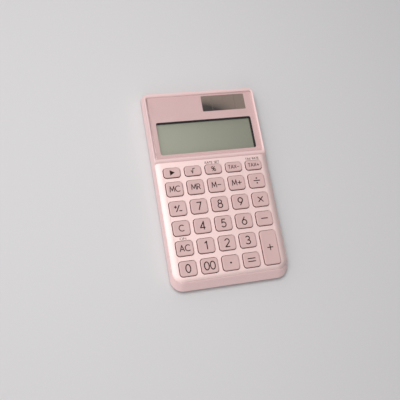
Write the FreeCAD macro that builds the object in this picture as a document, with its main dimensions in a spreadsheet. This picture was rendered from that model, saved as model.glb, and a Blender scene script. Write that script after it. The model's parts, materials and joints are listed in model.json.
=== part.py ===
"""Slim solar calculator: housing, key plate, display, keys, board and cell as separate pieces.

The frame: X to the right, Y towards the display, Z up out of the keys. The origin is on the desk,
under the middle of the housing. All sizes are in millimetres.
"""
import FreeCAD
import Part
import math
import os
import re
import Sketcher
from FreeCAD import Rotation, Vector

SIZES = [
    # The stack of pieces under the keys, from the desk up.
    ("foot_height", 0.4),
    ("floor_thickness", 1.1),
    ("board_space", 1.5),
    ("board_thickness", 0.8),
    ("mat_thickness", 0.5),
    ("dome_height", 0.9),
    ("dome_gap", 0.05),
    ("plunger_height", 0.35),
    ("tab_thickness", 0.6),
    ("tab_gap", 0.05),
    ("deck_thickness", 0.7),
    ("plate_thickness", 1.05),
    ("key_rise", 1.0),
    # Keys: five columns, five full rows and one row of shallow keys next to the display.
    ("key_width", 9.9),
    ("key_depth", 8.5),
    ("small_key_depth", 5.8),
    ("key_gap_x", 2.75),
    ("key_gap_y", 3.2),
    ("small_row_gap", 2.8),
    ("key_corner", 1.7),
    ("key_edge", 0.4),
    ("key_clearance", 0.35),
    ("key_wall", 1.3),
    ("key_roof", 1.3),
    ("tab_reach", 0.7),
    ("tab_length", 3.6),
    ("plunger_width", 2.8),
    ("dome_width", 5.2),
    ("dome_slope", 40.0),
    ("dome_roof", 0.45),
    ("dome_wall", 0.6),
    # Housing: margins round the keys and the window, and how far each flank runs out on its way down.
    ("key_side_margin", 4.45),
    ("key_bottom_margin", 2.5),
    ("key_top_margin", 3.8),
    ("display_bar", 2.5),
    ("bezel_rise", 0.6),
    ("bezel_sink", 0.9),
    ("bezel_slope", 1.1),
    ("bezel_inset", 0.12),
    ("bezel_edge", 0.4),
    ("bezel_corner_front", 1.0),
    ("bezel_corner_back", 2.6),
    ("window_rim_top", 2.3),
    ("window_rim_side", 1.5),
    ("rim_bevel", 0.8),
    ("rim_bevel_over", 0.5),
    ("flank_run_side", 0.95),
    ("flank_run_bottom", 5.1),
    ("flank_run_top", 1.5),
    ("crown_radius", 5.0),
    ("side_roll", 3.6),
    ("side_roll_drop", 0.85),
    ("body_corner_top", 3.8),
    ("body_corner_bottom", 7.5),
    ("back_corner_draw", 0.8),
    ("front_corner_draw", 0.5),
    ("plate_clearance", 0.08),
    ("plate_edge_inset", 0.2),
    ("plate_back_reach", 3.2),
    ("plate_bottom_drop", 0.5),
    ("plate_corner_top", 1.5),
    ("plate_corner_bottom", 4.4),
    ("wall_inset", 2.0),
    ("bottom_wall_inset", 3.2),
    ("deck_side_inset", 2.4),
    ("deck_bottom_inset", 4.7),
    ("deck_back_wall", 1.4),
    ("cavity_corner", 2.0),
    ("shoulder_drop", 1.25),
    ("cover_height", 3.0),
    ("cover_taper", 2.4),
    ("lip_gap", 0.2),
    ("lip_width", 0.7),
    ("lip_height", 0.8),
    # Display: window, mask, black frame, glass stack and solar cell.
    ("window_recess", 0.25),
    ("window_thickness", 1.0),
    ("window_clearance", 0.06),
    ("window_corner", 0.8),
    ("window_bevel", 0.15),
    ("mask_thickness", 0.1),
    ("ledge_thickness", 0.8),
    ("lcd_bottom_margin", 2.2),
    ("lcd_side_margin", 3.4),
    ("lcd_view_depth", 20.5),
    ("display_gap", 5.1),
    ("solar_view_width", 27.5),
    ("solar_view_depth", 10.1),
    ("solar_top_margin", 1.0),
    ("view_corner", 1.2),
    ("frame_well", 2.2),
    ("frame_lip", 0.4),
    ("lip_reach", 0.4),
    ("well_clearance", 0.3),
    ("collar_wall", 0.6),
    ("collar_clearance", 0.15),
    ("frame_wall", 0.7),
    ("lcd_edge", 0.5),
    ("lcd_clearance", 0.1),
    ("contact_ledge", 1.8),
    ("polariser_thickness", 0.2),
    ("glass_thickness", 0.55),
    ("reflector_thickness", 0.2),
    ("solar_corner", 0.5),
    ("solar_edge", 0.7),
    ("solar_thickness", 1.1),
    ("solar_clearance", 0.15),
    ("solar_boss_gap", 0.8),
    ("ribbon_thickness", 0.1),
    ("ribbon_width", 44.0),
    ("ribbon_lap", 3.0),
    ("lcd_rib_width", 1.2),
    ("lcd_rib_offset", 17.0),
    # Fasteners, feet, board and cell.
    ("boss_radius", 1.5),
    ("boss_gap", 0.1),
    ("boss_step", 0.8),
    ("boss_key_gap", 0.4),
    ("seat_wall", 1.2),
    ("seat_web", 0.9),
    ("screw_radius", 0.7),
    ("screw_head_radius", 1.25),
    ("screw_head_height", 0.6),
    ("screw_grip", 1.9),
    ("screw_clearance", 0.15),
    ("post_radius", 0.9),
    ("foot_radius", 3.2),
    ("foot_sink", 0.3),
    ("foot_inset_x", 9.0),
    ("foot_inset_y", 13.0),
    ("board_margin", 0.3),
    ("board_back_gap", 0.3),
    ("blob_radius", 5.0),
    ("blob_height", 0.8),
    ("chip_length", 2.0),
    ("chip_width", 1.25),
    ("chip_height", 0.6),
    ("cell_diameter", 11.6),
    ("cell_height", 3.05),
    ("cell_cap_height", 0.5),
    ("cell_cap_margin", 1.2),
    ("cell_edge", 0.3),
    ("cell_offset", 19.0),
    ("cell_clearance", 0.25),
    ("ring_wall", 0.8),
    ("ring_height", 1.6),
    ("contact_thickness", 0.2),
    ("contact_width", 4.0),
    ("contact_foot", 4.5),
    ("lead_radius", 0.35),
    ("lead_bend", 0.9),
    ("lead_lap", 4.0),
    ("lead_spacing", 3.0),
]

LAYOUT = [
    # Heights above the desk.
    ("floor_top", "foot_height + floor_thickness"),
    ("parting", "foot_height + cover_height"),
    ("board_bottom", "floor_top + board_space"),
    ("board_top", "board_bottom + board_thickness"),
    ("mat_top", "board_top + mat_thickness"),
    ("dome_top", "mat_top + dome_height"),
    ("key_foot", "dome_top + dome_gap"),
    ("skirt_bottom", "key_foot + plunger_height"),
    ("tab_top", "skirt_bottom + tab_thickness"),
    ("deck_bottom", "tab_top + tab_gap"),
    ("shoulder", "deck_bottom - shoulder_drop"),
    ("deck_top", "deck_bottom + deck_thickness"),
    ("plate_top", "deck_top + plate_thickness"),
    ("key_top", "plate_top + key_rise"),
    ("window_top", "plate_top + bezel_rise - window_recess"),
    ("mask_top", "window_top - window_thickness"),
    ("ledge_top", "mask_top - mask_thickness"),
    ("ledge_bottom", "ledge_top - ledge_thickness"),
    ("frame_lip_top", "ledge_top - frame_well"),
    ("lcd_top", "frame_lip_top - frame_lip"),
    ("glass_top", "lcd_top - polariser_thickness"),
    ("glass_joint", "glass_top - glass_thickness"),
    ("glass_bottom", "glass_joint - glass_thickness"),
    ("lcd_bottom", "glass_bottom - reflector_thickness"),
    ("boss_seat", "floor_top + boss_step"),
    ("head_seat", "boss_seat - seat_web"),
    # Places across the housing, from its middle.
    ("pitch_x", "key_width + key_gap_x"),
    ("pitch_y", "key_depth + key_gap_y"),
    ("crown_half", "2 * pitch_x + key_width / 2 + key_side_margin"),
    ("half_width", "crown_half + flank_run_side"),
    ("plate_half", "crown_half - plate_edge_inset"),
    ("window_half", "crown_half - window_rim_side"),
    ("view_half", "window_half - lcd_side_margin"),
    ("lcd_half", "view_half + lcd_edge"),
    ("lip_inner", "wall_inset + lip_gap + lip_width"),
    ("boss_x_top", "half_width - lip_inner - boss_gap - boss_radius"),
    ("boss_x_bottom", "2 * pitch_x + key_width / 4"),
    ("solar_right", "boss_x_top - boss_radius - solar_boss_gap - solar_clearance - solar_edge"),
    ("solar_left", "solar_right - solar_view_width"),
    ("board_half", "half_width - lip_inner - board_margin"),
    # The crown's rolled edge: how far it reaches onto the flat top, and down to where the flank starts.
    ("crown_height", "plate_top - parting"),
    ("front_slant", "sqrt(crown_height ^ 2 + flank_run_bottom ^ 2)"),
    ("front_roll", "crown_radius * (front_slant - flank_run_bottom) / crown_height"),
    ("front_roll_drop", "crown_radius * (1 - flank_run_bottom / front_slant)"),
    ("back_slant", "sqrt(crown_height ^ 2 + flank_run_top ^ 2)"),
    ("back_roll", "crown_radius * (back_slant - flank_run_top) / crown_height"),
    ("back_roll_drop", "crown_radius * (1 - flank_run_top / back_slant)"),
    # Places along the housing, from its middle: the rows are counted from the display.
    ("keys_span", "5 * key_depth + 4 * key_gap_y + small_row_gap + small_key_depth"),
    ("views_span", "lcd_view_depth + display_gap + solar_view_depth"),
    ("window_span", "lcd_bottom_margin + views_span + solar_top_margin"),
    ("key_field", "flank_run_bottom + key_bottom_margin + keys_span + key_top_margin"),
    ("half_length", "(key_field + display_bar + window_span + window_rim_top + flank_run_top) / 2"),
    ("crown_bottom", "flank_run_bottom - half_length"),
    ("row_6", "crown_bottom + key_bottom_margin + key_depth / 2"),
    ("row_5", "row_6 + pitch_y"),
    ("row_4", "row_5 + pitch_y"),
    ("row_3", "row_4 + pitch_y"),
    ("row_2", "row_3 + pitch_y"),
    ("row_1", "row_2 + key_depth / 2 + small_row_gap + small_key_depth / 2"),
    ("plate_front", "crown_bottom - plate_bottom_drop"),
    ("plate_back", "row_1 + small_key_depth / 2 + key_top_margin"),
    ("window_front", "plate_back + display_bar"),
    ("window_back", "window_front + window_span"),
    ("crown_top", "half_length - flank_run_top"),
    ("view_front", "window_front + lcd_bottom_margin"),
    ("view_back", "view_front + lcd_view_depth"),
    ("lcd_front", "view_front - lcd_edge"),
    ("lcd_back", "view_back + lcd_edge"),
    ("frame_front", "lcd_front - contact_ledge - lcd_clearance"),
    ("frame_back", "lcd_back + lcd_clearance + frame_wall"),
    ("solar_front", "view_back + display_gap"),
    ("solar_back", "solar_front + solar_view_depth"),
    ("front_lip_inner", "bottom_wall_inset + lip_gap + lip_width"),
    ("boss_y_top", "half_length - lip_inner - boss_gap - boss_radius"),
    ("boss_y_bottom", "row_6 - key_depth / 2 - boss_key_gap - boss_radius"),
    ("board_front", "boss_y_bottom + boss_radius + board_margin"),
    ("board_back", "frame_front - board_back_gap"),
    ("cell_radius", "cell_diameter / 2"),
    ("cell_y", "half_length - lip_inner - ring_wall - cell_clearance - cell_radius"),
    ("cell_base", "floor_top + contact_thickness"),
    ("lead_height", "floor_top + 1.4 * lead_radius"),
    ("lead_end", "board_back - lead_lap"),
    # The tall key stands in the two lowest rows of the last column.
    ("tall_y", "(row_5 + row_6) / 2"),
    ("tall_depth", "2 * key_depth + key_gap_y"),
]

ROWS = [
    ["key_backspace", "key_root", "key_percent", "key_tax_minus", "key_tax_plus"],
    ["key_memory_clear", "key_memory_recall", "key_memory_minus", "key_memory_plus", "key_divide"],
    ["key_sign", "key_7", "key_8", "key_9", "key_multiply"],
    ["key_clear", "key_4", "key_5", "key_6", "key_minus"],
    ["key_all_clear", "key_1", "key_2", "key_3"],
    ["key_0", "key_double_zero", "key_point", "key_equals"],
]

# What is seen of the display and of the solar cell, and the board's outline: left, right, front, back.
LCD_VIEW = ("-view_half", "view_half", "view_front", "view_back")
SOLAR_VIEW = ("solar_left", "solar_right", "solar_front", "solar_back")
BOARD_SIDES = ("-board_half", "board_half", "board_front", "board_back")

# Board bosses stand where four keys meet: (gap between columns, the two rows that they stand between).
BOSS_PLACES = [
    ("-1.5 * pitch_x", "row_2 + key_depth / 2 + small_row_gap / 2"),
    ("1.5 * pitch_x", "row_2 + key_depth / 2 + small_row_gap / 2"),
    ("-1.5 * pitch_x", "(row_3 + row_4) / 2"),
    ("1.5 * pitch_x", "(row_3 + row_4) / 2"),
    ("-1.5 * pitch_x", "(row_5 + row_6) / 2"),
    ("0.5 * pitch_x", "(row_5 + row_6) / 2"),
]
CASE_SCREW_PLACES = [
    ("-boss_x_top", "boss_y_top"),
    ("boss_x_top", "boss_y_top"),
    ("-boss_x_bottom", "boss_y_bottom"),
    ("boss_x_bottom", "boss_y_bottom"),
]
POST_PLACES = [
    ("-2 * pitch_x", "row_3"),
    ("2 * pitch_x", "row_3"),
    ("-2 * pitch_x", "row_5"),
    ("2 * pitch_x", "row_5"),
]

# Levels through the rolled edge, as shares of its radius below the flat top.
CROWN_SHARES = (0.69, 0.45, 0.33, 0.24, 0.17, 0.11, 0.06, 0.025, 0.006, 0)

# Levels up the raised bezel round the display, as shares of its rise.
BEZEL_SHARES = (0, 0.35, 0.65, 0.87, 0.97, 1)

# Levels up the rear cover's rounded side, as shares of its height.
COVER_SHARES = (0, 0.05, 0.15, 0.35, 0.65, 1)

QUARTER_TURN = math.pi / 2

doc = FreeCAD.newDocument("calculator")
SHEET_OF = {}


def fill_sheet(sheet_name, rows):
    """Write named values into a sheet, a name and its value on each line."""
    sheet = doc.addObject("Spreadsheet::Sheet", sheet_name)
    for line, (alias, value) in enumerate(rows, 1):
        sheet.set(f"A{line}", alias)
        sheet.set(f"B{line}", value if value.startswith("=") else str(value))
        sheet.setAlias(f"B{line}", alias)
    return sheet


def linked(formula):
    """Put the sheet's name before each named value in a formula."""
    return re.sub(r"[a-z_][a-z_0-9]*", lambda word: SHEET_OF.get(word.group(), "") + word.group(), formula)


SHEET_OF.update((alias, "Sizes.") for alias, value in SIZES)
sizes = fill_sheet("Sizes", [(alias, str(value)) for alias, value in SIZES])
SHEET_OF.update((alias, "Layout.") for alias, formula in LAYOUT)
layout = fill_sheet(
    "Layout", [(alias, "=" + linked(formula).replace("Layout.", "")) for alias, formula in LAYOUT])
doc.recompute()


def value(formula):
    """What a formula of named values comes to."""
    return float(layout.evalExpression(linked(formula)))


def bind(obj, prop, formula):
    """Drive one property of an object by a formula of named values."""
    obj.setExpression(prop, linked(formula))


def grown(sides, margin):
    """Left, right, front and back of a rectangle, each moved out by a margin."""
    left, right, front, back = sides
    return (f"{left} - ({margin})", f"{right} + {margin}", f"{front} - ({margin})", f"{back} + {margin}")


def centred(half, across="0", along="0"):
    """Sides of a square, from half its width and its middle."""
    return (f"{across} - {half}", f"{across} + {half}", f"{along} - {half}", f"{along} + {half}")


def new_body(name):
    """An empty body that will hold one piece."""
    body = doc.addObject("PartDesign::Body", name)
    body.Label = name
    return body


def sketch_on(body, name, offset, role="XY_Plane"):
    """A sketch on one of the body's own planes, moved along that plane's normal."""
    sketch = body.newObject("Sketcher::SketchObject", name)
    plane = [feature for feature in body.Origin.OriginFeatures if feature.Role == role][0]
    sketch.AttachmentSupport = [(plane, "")]
    sketch.MapMode = "FlatFace"
    bind(sketch, "AttachmentOffset.Base.z", offset)
    return sketch


def dimension(sketch, kind, formula, *where):
    """One driven dimension of a sketch."""
    index = sketch.addConstraint(Sketcher.Constraint(kind, *where, value(formula)))
    bind(sketch, f"Constraints[{index}]", formula)


def polygon(sketch, points):
    """A closed outline of straight lines, each corner placed by two formulas."""
    spots = [Vector(value(across), value(along), 0) for across, along in points]
    first = sketch.GeometryCount
    count = len(spots)
    for place in range(count):
        sketch.addGeometry(Part.LineSegment(spots[place], spots[(place + 1) % count]))
    for place, (across, along) in enumerate(points):
        line = first + place
        sketch.addConstraint(Sketcher.Constraint("Coincident", line, 2, first + (place + 1) % count, 1))
        dimension(sketch, "DistanceX", across, -1, 1, line, 1)
        dimension(sketch, "DistanceY", along, -1, 1, line, 1)


def corner_arc(sketch, across, along, radius, turns):
    """A quarter circle round a centre, from so many quarter turns on."""
    circle = Part.Circle(Vector(across, along, 0), Vector(0, 0, 1), radius)
    sketch.addGeometry(Part.ArcOfCircle(circle, turns * QUARTER_TURN, (turns + 1) * QUARTER_TURN))


def rectangle(sketch, left, right, front, back, corner=None, back_corner=None):
    """A rectangle, with round corners where a corner radius is given."""
    if corner is None:
        polygon(sketch, [(left, front), (right, front), (right, back), (left, back)])
        return
    back_corner = back_corner or corner
    x0, x1, y0, y1 = (value(side) for side in (left, right, front, back))
    r0, r1 = value(corner), value(back_corner)
    first = sketch.GeometryCount
    sketch.addGeometry(Part.LineSegment(Vector(x0 + r0, y0, 0), Vector(x1 - r0, y0, 0)))
    corner_arc(sketch, x1 - r0, y0 + r0, r0, -1)
    sketch.addGeometry(Part.LineSegment(Vector(x1, y0 + r0, 0), Vector(x1, y1 - r1, 0)))
    corner_arc(sketch, x1 - r1, y1 - r1, r1, 0)
    sketch.addGeometry(Part.LineSegment(Vector(x1 - r1, y1, 0), Vector(x0 + r1, y1, 0)))
    corner_arc(sketch, x0 + r1, y1 - r1, r1, 1)
    sketch.addGeometry(Part.LineSegment(Vector(x0, y1 - r1, 0), Vector(x0, y0 + r0, 0)))
    corner_arc(sketch, x0 + r0, y0 + r0, r0, 2)
    for step in range(8):
        sketch.addConstraint(Sketcher.Constraint("Tangent", first + step, 2, first + (step + 1) % 8, 1))
    for line, direction in ((0, "Horizontal"), (2, "Vertical"), (4, "Horizontal"), (6, "Vertical")):
        sketch.addConstraint(Sketcher.Constraint(direction, first + line))
    sketch.addConstraint(Sketcher.Constraint("Equal", first + 1, first + 7))
    sketch.addConstraint(Sketcher.Constraint("Equal", first + 3, first + 5))
    dimension(sketch, "Radius", corner, first + 1)
    dimension(sketch, "Radius", back_corner, first + 3)
    dimension(sketch, "DistanceY", front, -1, 1, first, 1)
    dimension(sketch, "DistanceX", right, -1, 1, first + 2, 1)
    dimension(sketch, "DistanceY", back, -1, 1, first + 4, 1)
    dimension(sketch, "DistanceX", left, -1, 1, first + 6, 1)


def circles(sketch, places, radius):
    """Circles of one radius at several places."""
    for across, along in places:
        centre = Vector(value(across), value(along), 0)
        geometry = sketch.addGeometry(Part.Circle(centre, Vector(0, 0, 1), value(radius)))
        dimension(sketch, "Radius", radius, geometry)
        dimension(sketch, "DistanceX", across, -1, 1, geometry, 3)
        dimension(sketch, "DistanceY", along, -1, 1, geometry, 3)


def pad(body, sketch, length, slope=None):
    """Material added above a sketch, drawn in by a slope where one is given."""
    feature = body.newObject("PartDesign::Pad", sketch.Name + "_pad")
    feature.Profile = sketch
    bind(feature, "Length", length)
    if slope:
        bind(feature, "TaperAngle", "-1 * " + slope)
    body.Tip = feature
    return feature


def cut(body, sketch, length):
    """Material taken away above a sketch."""
    feature = body.newObject("PartDesign::Pocket", sketch.Name + "_cut")
    feature.Profile = sketch
    feature.Reversed = True
    bind(feature, "Length", length)
    body.Tip = feature
    return feature


def edges_at(feature, height):
    """Names of a feature's edges that lie flat at one height."""
    level = value(height)
    names = []
    for number, edge in enumerate(feature.Shape.Edges, 1):
        box = edge.BoundBox
        if abs(box.ZMin - level) < 1e-4 and abs(box.ZMax - level) < 1e-4:
            names.append(f"Edge{number}")
    return names


def round_off(body, height, radius, kind="Fillet"):
    """Round or bevel all edges of a body's tip that lie at one height."""
    doc.recompute()
    last = body.Tip
    feature = body.newObject("PartDesign::" + kind, f"{body.Name}_{kind.lower()}")
    feature.Base = (last, edges_at(last, height))
    bind(feature, "Radius" if kind == "Fillet" else "Size", radius)
    body.Tip = feature
    doc.recompute()
    return feature


def slab(name, sides, base, height, corner=None, back_corner=None):
    """A body that is one flat plate: sides are its left, right, front and back."""
    body = new_body(name)
    sketch = sketch_on(body, name + "_outline", base)
    rectangle(sketch, *sides, corner, back_corner)
    pad(body, sketch, height)
    return body


def opening(body, name, sides, base, height, corner=None, back_corner=None):
    """A rectangular cut in a body, from a base height up."""
    sketch = sketch_on(body, name, base)
    rectangle(sketch, *sides, corner, back_corner)
    return cut(body, sketch, height)


def repeat_across(body, features, sketch, count):
    """Repeat features along a row of keys."""
    pattern = body.newObject("PartDesign::LinearPattern", features[0].Name + "_row")
    pattern.Originals = features
    pattern.Direction = (sketch, ["H_Axis"])
    bind(pattern, "Length", f"{count - 1} * pitch_x")
    pattern.Occurrences = count
    body.Tip = pattern


def key_openings(body, base, height):
    """Openings for all keys: one in each row, repeated across it, and one for the tall key."""
    for number, row in enumerate(ROWS, 1):
        depth = "small_key_depth" if number == 1 else "key_depth"
        sketch = sketch_on(body, f"{body.Name}_row_{number}", base)
        sides = (
            "-2 * pitch_x - key_width / 2 - key_clearance",
            "-2 * pitch_x + key_width / 2 + key_clearance",
            f"row_{number} - {depth} / 2 - key_clearance",
            f"row_{number} + {depth} / 2 + key_clearance",
        )
        rectangle(sketch, *sides, "key_corner + key_clearance")
        repeat_across(body, [cut(body, sketch, height)], sketch, len(row))
    sides = (
        "2 * pitch_x - key_width / 2 - key_clearance",
        "2 * pitch_x + key_width / 2 + key_clearance",
        "tall_y - tall_depth / 2 - key_clearance",
        "tall_y + tall_depth / 2 + key_clearance",
    )
    opening(body, f"{body.Name}_tall", sides, base, height, "key_corner + key_clearance")


def rolled(edge, run, roll, roll_drop, drop):
    """How far out a leaning flank with a rolled top edge stands, at a drop below the flat top."""
    arc = f"{edge} - {roll} + sqrt(2 * crown_radius * {drop} - ({drop}) ^ 2)"
    flank = f"{edge} + {run} * {drop} / crown_height"
    return f"({drop} < {roll_drop} ? {arc} : {flank})"


def eased(edge, run, roll, roll_drop, drop):
    """The same for a flank whose top edge falls away slowly at first, then faster."""
    fall = f"{edge} - {roll} + {roll} * sqrt({drop} / {roll_drop})"
    flank = f"{edge} + {run} * ({drop} - {roll_drop}) / (crown_height - {roll_drop})"
    return f"({drop} < {roll_drop} ? {fall} : {flank})"


def crowned_block(body, back_edge, back_run, back_roll, back_roll_drop):
    """The housing's upper form: flanks that lean in to a flat top, with a rolled edge all round."""
    sections = []
    drops = ["crown_height"] + [f"{share} * crown_radius" for share in CROWN_SHARES]
    for number, drop in enumerate(drops, 1):
        side = eased("crown_half", "flank_run_side", "side_roll", "side_roll_drop", drop)
        front = rolled("-crown_bottom", "flank_run_bottom", "front_roll", "front_roll_drop", drop)
        back = rolled(back_edge, back_run, back_roll, back_roll_drop, drop)
        drawn_in = f"(half_width - {side}) / (flank_run_side + side_roll)"
        section = sketch_on(body, f"{body.Name}_section_{number}", f"plate_top - {drop}")
        rectangle(
            section, f"-{side}", side, f"-{front}", back,
            f"body_corner_bottom * (1 - front_corner_draw * {drawn_in})",
            f"body_corner_top * (1 - back_corner_draw * {drawn_in})")
        sections.append(section)
    loft = body.newObject("PartDesign::AdditiveLoft", body.Name + "_loft")
    loft.Profile = sections[0]
    loft.Sections = sections[1:]
    loft.Ruled = True
    body.Tip = loft


def display_bezel(body):
    """The raised surround of the display: a slope up from the key plate, and a rounded crest all round."""
    sections = []
    levels = [("-bezel_sink", "0", "-bezel_edge")]
    for share in BEZEL_SHARES:
        turned = f"(1 - sqrt(1 - {share} ^ 2))"
        climb = f"bezel_slope * (0.8 * {share} + 0.2 * {turned})"
        levels.append((f"bezel_rise * {share}", f"bezel_edge * {turned}", climb))
    for number, (rise, drawn_in, climb) in enumerate(levels, 1):
        section = sketch_on(body, f"bezel_section_{number}", f"plate_top + {rise}")
        side = f"(crown_half - bezel_inset - {drawn_in})"
        rectangle(
            section, f"-{side}", side, f"plate_back + {climb}", f"crown_top - bezel_inset - {drawn_in}",
            "bezel_corner_front", f"bezel_corner_back - {drawn_in}")
        sections.append(section)
    loft = body.newObject("PartDesign::AdditiveLoft", "bezel_loft")
    loft.Profile = sections[0]
    loft.Sections = sections[1:]
    loft.Ruled = True
    body.Tip = loft


def bevelled_rim(body, sides, corner):
    """A sloped edge round an opening in the bezel: from the window's face out to the crest and past it."""
    reach = "(1 + rim_bevel_over) * rim_bevel"
    low = sketch_on(body, "rim_section_low", "window_top")
    rectangle(low, *sides, corner)
    high = sketch_on(body, "rim_section_high", "window_top + (1 + rim_bevel_over) * window_recess")
    rectangle(high, *grown(sides, reach), f"{corner} + {reach}")
    loft = body.newObject("PartDesign::SubtractiveLoft", "rim_loft")
    loft.Profile = low
    loft.Sections = [high]
    loft.Ruled = True
    body.Tip = loft


def ring_wall(body, name, outer, inner, base, height):
    """A wall between two outlines: each is (left, right, front, back, corner, back corner)."""
    sketch = sketch_on(body, name, base)
    rectangle(sketch, *outer)
    rectangle(sketch, *inner)
    return pad(body, sketch, height)


def group(name, members):
    """Several like solids as one piece."""
    compound = doc.addObject("Part::Compound", name)
    compound.Links = members
    compound.Label = name
    return compound


def build_front_case():
    """Upper housing: crowned form, hollow inside, with recesses for the plate and the window."""
    body = new_body("front_case")
    crowned_block(body, "crown_top", "flank_run_top", "0", "0")
    display_bezel(body)
    inside = (
        "wall_inset - half_width", "half_width - wall_inset",
        "bottom_wall_inset - half_length", "half_length - wall_inset",
    )
    corners = ("2 * cavity_corner", "cavity_corner")
    opening(body, "case_inside", inside, "parting - 1", "shoulder - parting + 1", *corners)
    key_room = (
        "deck_side_inset - half_width", "half_width - deck_side_inset",
        "deck_bottom_inset - half_length", "plate_back - deck_back_wall",
    )
    opening(body, "case_key_room", key_room, "parting", "deck_bottom - parting", *corners)
    display_room = (
        "wall_inset - half_width", "half_width - wall_inset", "board_back", "half_length - wall_inset",
    )
    opening(body, "case_display_room", display_room, "parting", "ledge_bottom - parting", "cavity_corner")
    bosses = sketch_on(body, "case_board_bosses", "board_top")
    circles(bosses, BOSS_PLACES, "boss_radius")
    pad(body, bosses, "deck_bottom + deck_thickness / 2 - board_top")
    back_bosses = sketch_on(body, "case_back_bosses", "boss_seat")
    circles(back_bosses, CASE_SCREW_PLACES[:2], "boss_radius")
    pad(body, back_bosses, "ledge_bottom + ledge_thickness / 2 - boss_seat")
    front_bosses = sketch_on(body, "case_front_bosses", "boss_seat")
    circles(front_bosses, CASE_SCREW_PLACES[2:], "boss_radius")
    pad(body, front_bosses, "deck_bottom + deck_thickness / 2 - boss_seat")
    board_pilots = sketch_on(body, "case_board_pilots", "board_top")
    circles(board_pilots, BOSS_PLACES, "screw_radius")
    cut(body, board_pilots, "screw_grip")
    case_pilots = sketch_on(body, "case_screw_pilots", "boss_seat")
    circles(case_pilots, CASE_SCREW_PLACES, "screw_radius")
    cut(body, case_pilots, "screw_grip")
    plate_room = ("-plate_half", "plate_half", "plate_front", "plate_back")
    opening(
        body, "case_plate_room", plate_room, "deck_top", "2 * plate_thickness", "plate_corner_bottom",
        "plate_corner_top")
    window = ("-window_half", "window_half", "window_front", "window_back")
    opening(
        body, "case_window_room", window, "ledge_top", "2 * plate_thickness + window_thickness",
        "window_corner")
    bevelled_rim(body, window, "window_corner")
    lcd = grown(LCD_VIEW, "well_clearance + collar_wall + collar_clearance")
    opening(body, "case_lcd_opening", lcd, "ledge_bottom - 0.1", "ledge_thickness + 0.2", "view_corner")
    solar = grown(SOLAR_VIEW, "solar_edge + solar_clearance")
    opening(body, "case_solar_opening", solar, "ledge_bottom - 0.1", "ledge_thickness + 0.2")
    key_openings(body, "deck_bottom - 0.1", "deck_thickness + 0.2")
    return body


def build_key_plate():
    """Panel over the keys: its crowned edges carry on the housing's own form."""
    body = new_body("key_plate")
    crowned_block(body, "(plate_back + plate_back_reach)", "flank_run_top", "back_roll", "back_roll_drop")
    everything = ("-2 * half_width", "2 * half_width", "-2 * half_length", "2 * half_length")
    opening(body, "plate_underside", everything, "parting - 1", "deck_top - parting + 1")
    trim = sketch_on(body, "plate_trim", "deck_top")
    rectangle(trim, *everything)
    rectangle(
        trim, "plate_clearance - plate_half", "plate_half - plate_clearance",
        "plate_front + plate_clearance", "plate_back - plate_clearance",
        "plate_corner_bottom", "plate_corner_top")
    cut(body, trim, "2 * plate_thickness")
    key_openings(body, "deck_top", "2 * plate_thickness")
    return body


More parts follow.
